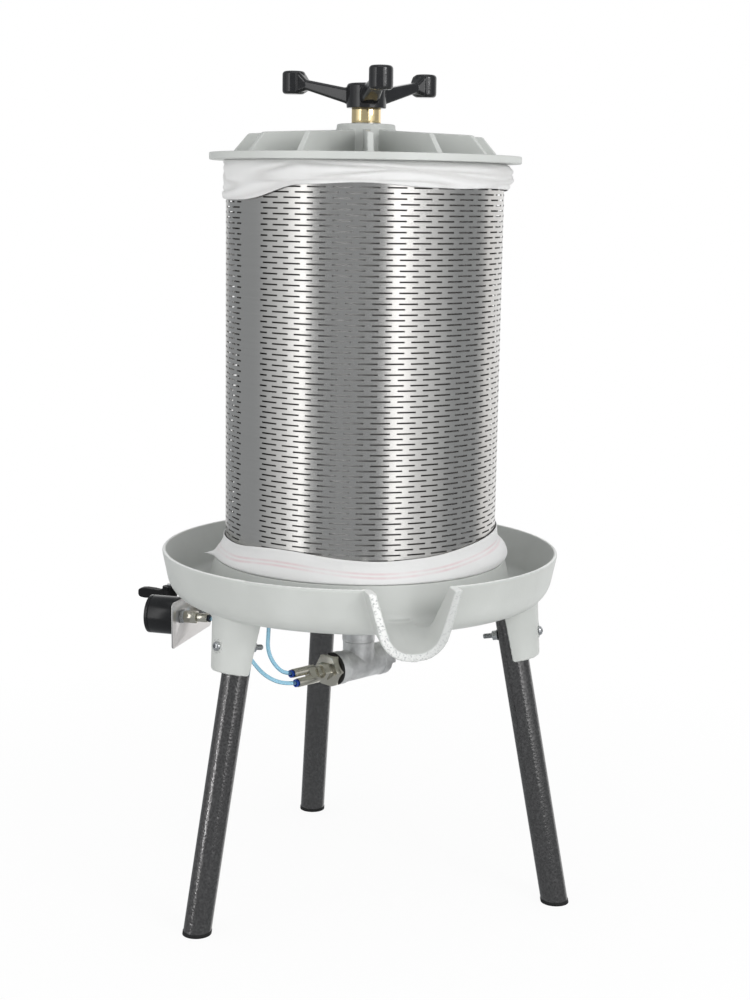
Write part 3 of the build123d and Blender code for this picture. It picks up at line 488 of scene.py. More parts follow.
# %% Air tubes
tube_radius = 0.003
tube_routes = {
    "air_tube_valve": [
        (-0.1018, -0.0526, 0.3464),
        (-0.1230, -0.0648, 0.3464),
        (-0.1420, -0.0705, 0.3620),
        (-0.1520, -0.0640, 0.3840),
        (-0.1470, -0.0460, 0.4080),
        (-0.1390, -0.0100, 0.4200),
        (-0.1310, 0.0330, 0.4210),
        (-0.1270, 0.0760, 0.4140),
        (-0.1330, 0.1160, 0.4000),
        (-0.1525, 0.1458, 0.3880),
        (-0.1816, 0.1626, 0.3880),
    ],
    "air_tube_gauge": [
        (-0.0964, -0.0618, 0.3346),
        (-0.1237, -0.0776, 0.3346),
        (-0.1560, -0.0760, 0.3470),
        (-0.1750, -0.0480, 0.3690),
        (-0.1820, -0.0060, 0.3880),
        (-0.1880, 0.0360, 0.4000),
        (-0.2026, 0.0650, 0.4020),
        (-0.2291, 0.0803, 0.4020),
    ],
}

tube_plastic = Finish("tube_plastic", Roughness=0.1, Transmission_Weight=0.75, IOR=1.25)
cloudy = tube_plastic.noise(60, detail=3)
tube_plastic.set(Base_Color=tube_plastic.mix(cloudy, (0.36, 0.66, 0.84), (0.46, 0.74, 0.88)))

for name, route in tube_routes.items():
    curve = bpy.data.curves.new(name + "_line", "CURVE")
    curve.dimensions = "3D"
    spline = curve.splines.new("NURBS")
    spline.points.add(len(route) - 1)
    for point, place in zip(spline.points, route):
        point.co = (*place, 1)
    spline.order_u = 3
    spline.use_endpoint_u = True
    spline.resolution_u = 12
    curve.bevel_depth = tube_radius
    curve.bevel_resolution = 6
    curve.use_fill_caps = True
    tube = bpy.data.objects.new(name + "_line", curve)
    bpy.context.scene.collection.objects.link(tube)
    paint(tube_plastic, tube)
    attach(tube, "stand")
    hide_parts(name)
    print(name, "from", route[0], "to", route[-1])

# %% [markdown]
# ## Handing a piece over
#
# A modelled piece moves with a body of the frame and hides the measured part that it stands for. Many parts only
# lack the small things that a drawing leaves out: a casting's rounded corners or a turned part's broken edges. Those
# start from a copy of the measured mesh. Its points are doubled along every edge, so they are merged before anything
# else.

# %% Helpers for measured parts
flat_within = 0.3  # degrees: more than this, and the narrow facets of a round wall would join too


def hand_over(piece, body, slot, finish, *replaced):
    """Finish a piece and put it in the place of measured parts."""
    paint(finish, piece)
    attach(piece, body)
    if replaced:
        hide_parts(*replaced)
    print(faces_of(piece))
    return piece


def copy_of(node, name):
    """A merged copy of a measured part."""
    piece = bpy.data.objects.new(name, nodes[node].data.copy())
    bpy.context.scene.collection.objects.link(piece)
    return tidy_mesh(piece, 1e-5)


def cast(node, voxel, passes, keep=1.0, soft=None):
    """A casting or moulding: its skin rebuilt and smoothed, more so where it is soft, then thinned to a share.

    Where the new skin still lies on the measured one, it takes over the measured normals."""
    piece = copy_of(node, node + "_cast")
    modify(piece, "REMESH", mode="VOXEL", voxel_size=voxel)
    modify(piece, "SMOOTH", factor=0.5, iterations=passes)
    if soft:
        edit(piece, "VERT")
        pick(piece, soft, "verts")
        bpy.ops.mesh.vertices_smooth(factor=0.5, repeat=5)
        put_down()
    if keep < 1:
        modify(piece, "DECIMATE", ratio=keep)
    smooth(piece, 45)
    on_skin = piece.vertex_groups.new(name="on_skin")
    on_skin.add(range(len(piece.data.vertices)), 1.0, "REPLACE")
    modify(piece, "VERTEX_WEIGHT_PROXIMITY", vertex_group="on_skin", target=nodes[node], proximity_mode="GEOMETRY",
           proximity_geometry={"FACE"}, min_dist=voxel * 0.4, max_dist=voxel * 0.16)
    modify(piece, "DATA_TRANSFER", object=nodes[node], use_loop_data=True, data_types_loops={"CUSTOM_NORMAL"},
           loop_mapping="POLYINTERP_NEAREST", vertex_group="on_skin")
    return piece


def machined(node, width, rounds=2):
    """A turned or milled part: its flat faces made whole, then its sharp edges broken."""
    piece = copy_of(node, node + "_turned")
    edit(piece)
    bpy.ops.mesh.select_all(action="SELECT")
    bpy.ops.mesh.dissolve_limited(angle_limit=math.radians(flat_within))
    put_down()
    modify(piece, "BEVEL", width=width, segments=rounds, limit_method="ANGLE", angle_limit=math.radians(32),
           use_clamp_overlap=True)
    return smooth(piece)


# %% [markdown]
# ## Tray and lid
#
# Tray and lid are aluminium castings with a pale grey paint. What makes a casting look cast is that it has no sharp
# corner: legs' sockets run into the bowl in a fillet, and ribs into the plate. Rebuilding the skin from small cubes
# and smoothing it gives all of these at once. The paint has a faint orange peel and is a little darker where the
# coat pooled, and a pale band along the tray's rim is a painted highlight. Only the spout's end is raw, ground
# metal, where the casting was cut off.

# %% Tray and lid
tray_paint = Finish("tray_paint", Specular_IOR_Level=0.45)
pooled = tray_paint.noise(9, detail=3)
x, y, z = tray_paint.axes()
lip = tray_paint.spread(y, -0.3095, -0.3115) * tray_paint.spread(z, 0.5225, 0.5185)
grain = tray_paint.noise(330, detail=3, roughness=0.6)
coat = tray_paint.mix(tray_paint.spread(pooled, 0.35, 0.68), (0.49, 0.505, 0.485), (0.545, 0.56, 0.54))
# The ground lip is paler towards the left and greyer towards the right.
towards_right = tray_paint.spread(x + pooled * 0.08, 0.0, 0.08)
ground_metal = tray_paint.mix(towards_right, (0.78, 0.785, 0.77), (0.52, 0.53, 0.52))
ground = tray_paint.mix(tray_paint.spread(grain, 0.36, 0.48), (0.40, 0.41, 0.41), ground_metal)
# Painted highlight: a pale band on the rim's top face, mixed into the paint's colour.
rim_highlight = tray_paint.spread(z, 0.5188, 0.5204) * (z < 0.6)
wear_and_highlight = tray_paint.mix(rim_highlight * 0.85, coat, (0.90, 0.91, 0.89))
tray_paint.set(Base_Color=tray_paint.mix(lip, wear_and_highlight, ground))
tray_paint.set(Roughness=tray_paint.spread(pooled, 0.3, 0.7, 0.36, 0.43) + lip * 0.2)
peel = tray_paint.noise(260, detail=2) * 0.18 + tray_paint.noise(38, detail=3) * 0.6
tray_paint.bump(peel + lip * grain * 1.2, 0.0009, 0.5)


def below_rim(place, point):
    """All of the tray but its rim, whose edges stay crisp."""
    return math.hypot(place.x, place.y) < 0.284 or place.z < 0.516


def among_ribs(place, point):
    """The upper side of the lid inside its flange."""
    return math.hypot(place.x, place.y) < 0.200 and place.z > 1.0945


tray = cast("juice_tray", 0.0022, 1, 0.4, below_rim)
hand_over(tray, "stand", "tray_paint", tray_paint, "juice_tray")
lid = cast("lid", 0.0015, 1, 0.35, among_ribs)
hand_over(lid, "lid", "tray_paint", tray_paint, "lid")

# %% [markdown]
# ## Slotted basket
#
# The basket is one stainless sheet, punched flat with staggered slots, then rolled and welded along a plain strip.
# It is made here in the same order. One small cell of the pattern is a grid whose lines are moved to the edges of
# the slots, and the faces of the slots are deleted. Two arrays repeat it, a plain strip closes it, and the sheet is
# rolled up by reading the distance along it as an angle. The thickness comes last.

# %% Punched sheet
basket_radius = 0.200
sheet_gauge = 0.0015
basket_low = 0.5111
basket_high = 1.0811
cells_round = 33
cells_up = 38
lowest_slot = 0.5179
first_slot_azimuth = -144.0
cell_columns = np.radians([-5.25, -3.87, -1.38, 1.38, 3.87, 5.25]) * basket_radius
cell_rows = np.array([-3.675, -1.1, 1.1, 6.25, 8.45, 11.025]) / 1000
cell_width = cell_columns[-1] - cell_columns[0]
cell_height = cell_rows[-1] - cell_rows[0]
sheet_length = 2 * math.pi * basket_radius
seam_columns = np.linspace(cells_round * cell_width, sheet_length, 6) + cell_columns[0]


def sheet_patch(name, across, up):
    """A flat grid with its lines at given places."""
    put_down()
    bpy.ops.mesh.primitive_grid_add(x_subdivisions=len(across) - 1, y_subdivisions=len(up) - 1, size=1)
    patch = start(name)
    flat = read_points(patch)
    column = np.rint((flat[:, 0] + 0.5) * (len(across) - 1)).astype(int)
    row = np.rint((flat[:, 1] + 0.5) * (len(up) - 1)).astype(int)
    write_points(patch, np.stack([across[column], up[row], 0 * row], axis=1))
    return patch


def is_slot(place, face):
    """One slot in the middle of a cell, and half a slot at each side, half a row higher."""
    middle = abs(place.x) < cell_columns[4] and abs(place.y) < cell_rows[2]
    sides = abs(place.x) > cell_columns[3] and cell_rows[3] < place.y < cell_rows[4]
    return middle or sides


basket = sheet_patch("basket_sheet", cell_columns, cell_rows)
edit(basket)
pick(basket, is_slot)
bpy.ops.mesh.delete(type="FACE")
put_down()
modify(basket, "ARRAY", count=cells_round, use_relative_offset=False, use_constant_offset=True,
       constant_offset_displace=(cell_width, 0, 0), use_merge_vertices=True, merge_threshold=1e-5)
seam = sheet_patch("seam", seam_columns, cell_rows)
basket = join("basket_sheet", [basket, seam])
modify(basket, "ARRAY", count=cells_up, use_relative_offset=False, use_constant_offset=True,
       constant_offset_displace=(0, cell_height, 0), use_merge_vertices=True, merge_threshold=1e-5)
tidy_mesh(basket, 1e-5)
sheet_low = cell_rows[0]
sheet_high = sheet_low + cells_up * cell_height
edit(basket, "EDGE")
pick(basket, lambda place, edge: abs(place.y - sheet_low) < 1e-5, "edges")
extrude(y=basket_low - lowest_slot - sheet_low)
bpy.ops.mesh.select_all(action="DESELECT")
pick(basket, lambda place, edge: abs(place.y - sheet_high) < 1e-5, "edges")
extrude(y=basket_high - lowest_slot - sheet_high)
put_down()
print(faces_of(basket), "flat,", round(sheet_length, 3), "m long")

# %% [markdown]
# Rolling keeps every height and turns the length into an angle. The sheet is then thickened inward, so that its
# outside keeps the measured radius. The steel is bright: fine lines run round it from the rolling, and it is never
# quite even, so that reflections in it waver a little.

# %% Rolled basket
flat = read_points(basket)
angle = flat[:, 0] / basket_radius + math.radians(first_slot_azimuth)
write_points(basket, np.stack([basket_radius * np.cos(angle), basket_radius * np.sin(angle),
                               flat[:, 1] + lowest_slot], axis=1))
tidy_mesh(basket, 1e-5)
modify(basket, "SOLIDIFY", thickness=sheet_gauge, offset=-1)
smooth(basket, 30)

stainless = Finish("stainless", Metallic=1.0)
rolling = stainless.noise(55, detail=6, roughness=0.7, stretch=(0.12, 0.12, 14))
cloud = stainless.noise(7, detail=3, stretch=(1, 1, 0.35))
stainless.set(Base_Color=stainless.mix(rolling, (0.565, 0.55, 0.53), (0.65, 0.635, 0.615)))
stainless.set(Roughness=stainless.spread(cloud * 0.6 + rolling * 0.4, 0.3, 0.7, 0.17, 0.27))
stainless.bump(cloud + rolling * 0.05, 0.0012, 0.35)
hand_over(basket, "basket", "stainless", stainless, "basket_shell")

# %% [markdown]
# ## Cloth bag
#
# The bag is a tube of filter cloth, longer than the basket: it hangs inside, and its ends are turned out over both
# rims. So one profile runs from the edge of the upper cuff over the rim, down the inside, out under the lower rim
# and up again as a skirt, and spinning it gives the whole bag. Its two edges aren't level, so the heights are then
# eased towards lines of measured heights, and soft noise, drawn out along the cloth, gives the folds.

# %% Bag profile
cuff_radius = 0.2035
cuff_low = 1.042
cuff_top = 1.0815
lining_radius = 0.1962
lining_low = 0.517
lining_top = 1.078
skirt_low = 0.5104
skirt_top = 0.545
cuff_rows = 27
skirt_rows = 21
lining_rows = 26
bag_steps = 320
cloth = 0.0012

over_rim = [(0.2026, 1.0823), (0.2005, 1.0826), (0.1983, 1.0825), (0.1968, 1.0815)]
under_rim = [(0.1966, 0.5125), (0.1978, 0.5102), (0.2005, 0.5097), (0.2040, 0.5096), (0.2090, 0.5096),
             (0.2140, 0.5097)]
skirt_flare = [(0, 0.2149), (0.15, 0.2128), (0.3, 0.2094), (0.45, 0.2066), (0.6, 0.2046), (0.75, 0.2033),
               (1, 0.2022)]
profile = [(cuff_radius, h) for h in np.linspace(cuff_low, cuff_top, cuff_rows)] + over_rim
profile += [(lining_radius, h) for h in np.linspace(lining_top, lining_low, lining_rows)] + under_rim
for h in np.linspace(skirt_low, skirt_top, skirt_rows):
    profile.append((float(np.interp((h - skirt_low) / (skirt_top - skirt_low), *zip(*skirt_flare))), h))
bag = lathe("bag", profile, bag_steps)
print(faces_of(bag), "before the folds")

# %% [markdown]
# The edges are lines of heights round the press, in millimetres by azimuth. The cuff bulges more towards the right
# and has long creases; the skirt ruffles less, with one puffed-out place and one pulled corner; the lining hangs
# slack inside the basket and touches the steel in two places. Nothing holds the cloth but the basket, so moving its
# points says more exactly how it lies than a simulation would.

# %% Folds of the bag
front_azimuth = -104.0
tail_azimuth = 170.0
puff_azimuth = -18.0
touching_azimuths = (-112.0, -55.0)
cuff_line = [(-180, 1028), (-161, 1028), (-152, 1030), (-145, 1036), (-139, 1043), (-135, 1048), (-131, 1051),
             (-124, 1050), (-113, 1053), (-102, 1054), (-93, 1051), (-79, 1048), (-60, 1047), (-52, 1049),
             (-38, 1048), (-19, 1047), (10, 1042), (50, 1046), (80, 1039), (110, 1045), (150, 1038), (180, 1028)]
skirt_line = [(-180, 541), (-162, 541), (-148, 547), (-135, 549), (-125, 547), (-115, 543), (-104, 540),
              (-94, 539), (-84, 541), (-72, 543), (-60, 548), (-46, 553), (-32, 557), (-10, 560), (25, 553),
              (60, 546), (95, 551), (130, 544), (160, 540), (180, 541)]


def level_at(line, degrees):
    """Height, in metres, of a line of (azimuth, millimetres) points, with its corners rounded off."""
    places, levels = np.array(line).T
    near = [np.interp((degrees + step + 180) % 360 - 180, places, levels) for step in np.arange(-6, 7, 1.5)]
    return np.mean(near, axis=0) / 1000


def fold_noise(points, long, short, seed):
    """Noise drawn out round the press: one long wave along the cloth for every short one across it."""
    radius = np.hypot(points[:, 0], points[:, 1])
    places = np.stack([points[:, 0] / radius * basket_radius / long, points[:, 1] / radius * basket_radius / long,
                       points[:, 2] / short + seed], axis=1)
    return np.array([noise.noise(Vector(place)) for place in places])


points = read_points(bag)
radius = np.hypot(points[:, 0], points[:, 1])
azimuth = np.degrees(np.arctan2(points[:, 1], points[:, 0]))
height = points[:, 2].copy()
in_cuff = (radius > 0.2020) & (height > 1.0)
in_skirt = (radius > 0.2005) & (height > skirt_low - 1e-4) & (height < 0.6)
in_lining = (radius < 0.1975) & (height > 0.5135) & (height < 1.0795)

drop = np.clip((cuff_top - height) / (cuff_top - cuff_low), 0, 1)
eased = cuff_top - drop * (cuff_top - level_at(cuff_line, azimuth))
height = np.where(in_cuff, np.where(height > cuff_top, height, eased), height)
side = 0.5 + 0.5 * np.sin(np.radians(azimuth - front_azimuth))
bulge = (0.0015 + 0.0095 * side) * np.sin(np.pi * drop ** 0.8)
points[:, 2] = height
rumple = 0.005 * fold_noise(points, 0.16, 0.018, 3.1)
crease = np.zeros(len(points))
for long, short, seed in ((0.24, 0.022, 5.3), (0.16, 0.017, 7.7)):
    crease = np.maximum(crease, np.exp(-(fold_noise(points, long, short, seed) / 0.13) ** 2))
rumple -= 0.005 * crease
grow = np.where(in_cuff, bulge + rumple * np.sin(np.pi * (drop * 0.9 + 0.05)) + 0.0012 * drop, 0)

climb = np.clip((height - skirt_low) / (skirt_top - skirt_low), 0, 1)
skirt_height = skirt_low + climb * (level_at(skirt_line, azimuth) - skirt_low)
points[:, 2] = np.where(in_skirt, skirt_height, points[:, 2])
ruffle = 0.0026 * fold_noise(points, 0.11, 0.030, 12.4) + 0.0012 * fold_noise(points, 0.045, 0.016, 19.0)
tail = 0.0165 * np.exp(-np.abs((azimuth - tail_azimuth + 180) % 360 - 180) / 2.4) * (1 - climb) ** 16
puff = 0.0075 * np.exp(-((azimuth - puff_azimuth) / 30) ** 2)
puff *= np.sin(np.pi * np.clip(climb * 1.75, 0, 1)) ** 0.8
ruffle = ruffle * (0.25 + np.sin(np.pi * climb)) * (1 - 0.6 * climb) + tail + puff
grow = np.where(in_skirt, grow + ruffle, grow)

slack = np.sin(np.pi * np.clip((height - lining_low) / (lining_top - lining_low), 0, 1)) ** 0.5
hang = 0.012 + 0.009 * fold_noise(points, 0.035, 0.5, 27.0)
touching = np.exp(-((azimuth - touching_azimuths[0]) / 13) ** 2)
touching += 0.5 * np.exp(-((azimuth - touching_azimuths[1]) / 12) ** 2)
hang = np.clip(hang * (1 - touching), 0.001, 0.05)
grow = np.where(in_lining, -slack * hang, grow)

edge_gap = np.where(in_skirt, level_at(skirt_line, azimuth) - points[:, 2], 1.0)
outside = np.where(in_cuff, np.maximum(radius + grow, 0.2014), radius + grow)
points[:, :2] *= (outside / radius)[:, None]
write_points(bag, points)
# Painted shade in the cuff's creases, kept on the points.
crease_shade = crease * in_cuff * np.clip(drop * 4, 0, 1)
# Painted shade on the lining, weaker where it touches the steel.
lining_shade = in_lining * (1 - 0.75 * touching)
for name, values in (("edge_gap", edge_gap), ("crease", crease_shade), ("inside", lining_shade)):
    bag.data.attributes.new(name, "FLOAT", "POINT").data.foreach_set("value", values.astype(np.float32))
tidy_mesh(bag)
modify(bag, "SOLIDIFY", thickness=cloth, offset=0)
pick_up(bag)
bpy.ops.object.shade_smooth()
print(faces_of(bag), "folded")

# %% [markdown]
# The cloth is off-white with a plain weave, too fine to model, so it is a bump. The points of the mesh carry three
# values: how far a place is from the skirt's edge, which puts a faded double seam along it, how deep it lies in a
# crease, which paints shade into the cuff's creases, and whether it is in the lining. The lining's side that faces
# the steel gets a painted shade, nearly black, because hardly any light gets between the two and the slots should
# look black; where it touches the steel, the painted shade is weaker.

# %% Cloth
bag_cloth = Finish("bag_cloth", Roughness=0.85, Sheen_Weight=0.5, Specular_IOR_Level=0.2)
x, y, z = bag_cloth.axes()
around = bag_cloth.node("Math", {"operation": "ARCTAN2"}, {0: y, 1: x})
warp = bag_cloth.node("Math", {"operation": "SINE"}, {0: around * 1500})
weft = bag_cloth.node("Math", {"operation": "SINE"}, {0: z * 7500})
wrinkle = bag_cloth.noise(30, detail=5, stretch=(1, 1, 3))
gap, fold, painted_lining_shade = [bag_cloth.node("Attribute", {"attribute_name": name}, out="Fac")
                   for name in ("edge_gap", "crease", "inside")]
outward = bag_cloth.node("VectorMath", {"operation": "MULTIPLY"}, {0: bag_cloth.place(), 1: (1, 1, 0)})
normal = bag_cloth.node("TexCoord", out="Normal")
facing = bag_cloth.node("VectorMath", {"operation": "DOT_PRODUCT"}, {0: normal, 1: outward}, out="Value")
mid_seam = bag_cloth.node("Math", {"operation": "ABSOLUTE"}, {0: gap - 0.0195})
seam_line = bag_cloth.node("Math", {"operation": "ABSOLUTE"}, {0: mid_seam - 0.0024})
faded = bag_cloth.noise(11, detail=3) * 0.8 + bag_cloth.noise(90, detail=2) * 0.2
thread = bag_cloth.spread(seam_line, 0.0004, 0.0022, 1, 0) * bag_cloth.spread(faded, 0.38, 0.6, 0.08, 0.6)
clean = bag_cloth.mix(wrinkle, (0.725, 0.724, 0.72), (0.795, 0.794, 0.79))
# Painted shade: the creases are mixed towards grey.
painted_crease_shade = bag_cloth.mix(fold * 0.45, clean, (0.50, 0.49, 0.48))
stitched = bag_cloth.mix(thread, painted_crease_shade, (0.68, 0.47, 0.49))
# Painted shade: the lining's side that faces the steel is nearly black.
bag_cloth.set(Base_Color=bag_cloth.mix(painted_lining_shade * (facing > 0), stitched, (0.12, 0.11, 0.10)))
bag_cloth.bump(warp * weft * 0.35 + wrinkle * 1.2 - thread * 0.5, 0.0006, 0.5)
hand_over(bag, "basket", "bag_cloth", bag_cloth, "press_bag")

# %% [markdown]
# ## Handle, lever and other black plastic
#
# The handle is one moulding of glossy black plastic: a hub, three rising arms and three knobs that flow into each
# other. It is rounded in the same way as the castings, with smaller cubes because its curves are tighter. The lever
# of the air valve is a smaller moulding with a dull grip, drawn in behind its hub and at its tip. The gauge's case
# and ring are turned, so only their edges are rounded. Moulded plastic is never quite even, so its gloss varies.

# %% Black plastic
black_plastic = Finish("black_plastic", Specular_IOR_Level=0.6)
mould = black_plastic.noise(70, detail=3)
black_plastic.set(Base_Color=black_plastic.mix(mould, (0.008, 0.008, 0.009), (0.015, 0.015, 0.0165)))
black_plastic.set(Roughness=black_plastic.spread(mould, 0.3, 0.7, 0.09, 0.17))
black_plastic.bump(mould + black_plastic.noise(600, detail=2) * 0.12, 0.0006, 0.35)

hand_over(cast("handle", 0.0014, 5), "handle", "black_plastic", black_plastic, "handle")

# %% Valve lever
grip_plastic = Finish("grip_plastic", Specular_IOR_Level=0.25)
pitted = grip_plastic.noise(500, detail=3)
grip_plastic.set(Base_Color=grip_plastic.mix(pitted, (0.004, 0.004, 0.0045), (0.009, 0.009, 0.010)))
grip_plastic.set(Roughness=grip_plastic.spread(pitted, 0.3, 0.7, 0.4, 0.6))
lever = cast("valve_lever", 0.0007, 3)
points = read_points(lever)
hub = np.mean([corner.co for corner in nodes["lever_nut"].data.vertices], axis=0)
reach = np.hypot(*(points[:, :2] - hub[:2]).T)
middle = (points[:, 2].min() + points[reach > 0.03, 2].max()) / 2
lever_waist = [(0.012, 1), (0.019, 0.74), (0.027, 0.9), (0.040, 1), (0.047, 0.9), (0.051, 0.7), (0.0535, 0.35)]
waist = np.interp(reach, *zip(*lever_waist))
points[:, 2] = np.where(reach > lever_waist[0][0], middle + (points[:, 2] - middle) * waist, points[:, 2])
write_points(lever, points)
hand_over(lever, "lever", "black_plastic", grip_plastic, "valve_lever")

# %% Gauge case
gauge_black = Finish("gauge_black", Specular_IOR_Level=0.5)
even = gauge_black.noise(25, detail=2)
gauge_black.set(Base_Color=gauge_black.mix(even, (0.005, 0.005, 0.0055), (0.008, 0.008, 0.009)))
gauge_black.set(Roughness=gauge_black.spread(even, 0.3, 0.7, 0.2, 0.26))
for node in ("gauge_case", "gauge_bezel"):
    hand_over(machined(node, 0.0008, 3), "stand", "black_plastic", gauge_black, node)

# %% [markdown]
# ## Legs
#
# The legs are steel tube with a hammered paint: as it dries, it draws together into a net of small dimples. Cells
# of a Voronoi pattern give the dimples, and the light on them gives the specks. The feet are plain black caps.

# %% Legs and feet
leg_paint = Finish("leg_paint", Metallic=0.85)
dimple = leg_paint.cells(330, "SMOOTH_F1")
fleck = leg_paint.noise(900, detail=3)
hollow = leg_paint.spread(dimple, 0.1, 0.75)
leg_paint.set(Base_Color=leg_paint.mix(hollow, (0.095, 0.093, 0.093), (0.165, 0.162, 0.161)))
leg_paint.set(Roughness=leg_paint.spread(fleck, 0.35, 0.65, 0.1, 0.22))
leg_paint.bump(dimple + fleck * 0.1, 0.0009, 0.3)
paint(leg_paint, "leg_front_left", "leg_front_right", "leg_rear")

cap_plastic = Finish("cap_plastic", Specular_IOR_Level=0.35)
scuff = cap_plastic.noise(140, detail=5, roughness=0.7)
cap_plastic.set(Base_Color=cap_plastic.mix(scuff, (0.006, 0.006, 0.006), (0.016, 0.016, 0.016)))
cap_plastic.set(Roughness=cap_plastic.spread(scuff, 0.3, 0.7, 0.5, 0.7))
for side in ("front_left", "front_right", "rear"):
    node = "foot_cap_" + side
    hand_over(machined(node, 0.0005), "stand", "cap_plastic", cap_plastic, node)

# %% [markdown]
# ## Bolts through the sockets
#
# A button-head bolt holds each leg: a domed head with a six-sided socket outside, and a threaded end with washer
# and nut inside. One bolt is turned on the press axis. Its thread is a row of ridges in the profile, because at this
# size nobody sees that they don't climb. The socket is a six-sided hole cut into the head. Three copies then go to
# the legs.

# %% Leg bolts
bolt_seat = 0.0425
bolt_tail = 0.042
bolt_rise = 0.406
leg_splay = 0.192
foot_radius = 0.311
leg_azimuths = (210, 330, 90)

bolt_pitch = 0.00125
bolt_profile = [(0, 0.0045), (0.0030, 0.0044), (0.0050, 0.0037), (0.0064, 0.0022), (0.0070, 0.0003), (0.0070, 0),
                (0.004, 0)]
for ridge in np.arange(-bolt_seat - 0.018, -bolt_seat - bolt_tail + 0.001, -bolt_pitch):
    bolt_profile += [(0.0040, ridge), (0.0034, ridge - 0.00062)]
bolt_profile += [(0.0032, -bolt_seat - bolt_tail), (0, -bolt_seat - bolt_tail)]
bolt = lathe("leg_bolt", bolt_profile, 24)
put_down()
bpy.ops.mesh.primitive_cylinder_add(vertices=6, radius=0.0029, depth=0.0054, location=(0, 0, 0.0045))
key = start("bolt_key")
settle(key)
modify(bolt, "BOOLEAN", operation="DIFFERENCE", object=key, solver="EXACT")
bpy.data.objects.remove(key)
smooth(bolt, 40)

bolts = []
for azimuth in leg_azimuths:
    out = Vector((math.cos(math.radians(azimuth)), math.sin(math.radians(azimuth)), 0))
    along = (out + Vector((0, 0, leg_splay))).normalized()
    seat = out * (foot_radius - leg_splay * bolt_rise) + Vector((0, 0, bolt_rise)) + along * bolt_seat
    one = bpy.data.objects.new("leg_bolt_copy", bolt.data.copy())
    bpy.context.scene.collection.objects.link(one)
    one.matrix_world = Matrix.Translation(seat) @ along.to_track_quat("Z", "Y").to_matrix().to_4x4()
    bolts.append(settle(one))
bpy.data.objects.remove(bolt)

zinc = Finish("zinc", Metallic=1.0)
spangle = zinc.cells(420)
zinc.set(Base_Color=zinc.mix(spangle, (0.50, 0.51, 0.52), (0.70, 0.71, 0.72)))
zinc.set(Roughness=zinc.spread(zinc.noise(300), 0.3, 0.7, 0.22, 0.4))
hand_over(join("leg_bolt_set", bolts), "stand", "fastener", zinc, "leg_bolts")

# %% [markdown]
# ## Small metal parts
#
# Nuts, washers, fittings and rings keep their measured shape. Only their edges change, because no turned or milled
# edge is perfectly sharp and the fine bright line on it is what shows that a part is metal. Each metal has a colour
# and its own marks: turning lines on brass, a patchy cast skin on the tee, a soft nickel shine on the fittings.

# %% Metals
brass = Finish("brass", Metallic=1.0)
turned = brass.noise(90, detail=4, stretch=(0.15, 0.15, 12))
brass.set(Base_Color=brass.mix(turned, (0.97, 0.73, 0.38), (1.0, 0.85, 0.52)))
brass.set(Roughness=brass.spread(turned, 0.3, 0.7, 0.1, 0.2))
brass.bump(turned, 0.0001, 0.3)

nickel = Finish("nickel_brass", Metallic=1.0)
haze = nickel.noise(60, detail=3)
nickel.set(Base_Color=nickel.mix(haze, (0.62, 0.59, 0.50), (0.72, 0.69, 0.61)))
nickel.set(Roughness=nickel.spread(haze, 0.3, 0.7, 0.12, 0.2))

tee_iron = Finish("tee_iron", Metallic=0.7)
skin = tee_iron.noise(240, detail=5, roughness=0.65)
wear_and_highlight = tee_iron.noise(28, detail=3)
patchy = tee_iron.spread(wear_and_highlight, 0.36, 0.64)
tee_iron.set(Base_Color=tee_iron.mix(patchy, (0.50, 0.50, 0.495), (0.88, 0.88, 0.875)))
tee_iron.set(Roughness=tee_iron.spread(skin, 0.3, 0.7, 0.3, 0.46))
tee_iron.bump(skin, 0.0012, 0.6)

polished = Finish("polished_steel", Metallic=1.0)
brush = polished.noise(120, detail=5, stretch=(10, 10, 0.4))
polished.set(Base_Color=polished.mix(brush, (0.68, 0.655, 0.64), (0.76, 0.735, 0.72)))
polished.set(Roughness=polished.spread(brush, 0.3, 0.7, 0.27, 0.36))

blue_plastic = Finish("blue_plastic", Roughness=0.28)
tint = blue_plastic.noise(200)
blue_plastic.set(Base_Color=blue_plastic.mix(tint, (0.004, 0.035, 0.26), (0.008, 0.06, 0.38)))

# A darker copy of the blue plastic, as painted shade on the two rings by the gauge and the valve.
blue_plastic_in_shade = Finish("blue_plastic_in_shade", Roughness=0.4)
blue_plastic_in_shade.set(Base_Color=blue_plastic_in_shade.mix(blue_plastic_in_shade.noise(200), (0.004, 0.006, 0.014), (0.008, 0.012, 0.026)))

rubber = Finish("rubber", Specular_IOR_Level=0.3)
dust = rubber.noise(90, detail=5, roughness=0.7)
rubber.set(Base_Color=rubber.mix(dust, (0.010, 0.010, 0.010), (0.028, 0.027, 0.026)))
rubber.set(Roughness=rubber.spread(dust, 0.3, 0.7, 0.5, 0.75))
rubber.bump(dust, 0.0004, 0.4)
print(len(bpy.data.materials), "finishes so far")

# %% [markdown]
# The tee and its plug are castings again. All other small parts go through one loop: a finish, the slot it stands
# for, how far the edges are broken, and the parts. Each part goes to the body that its measured part moves with.

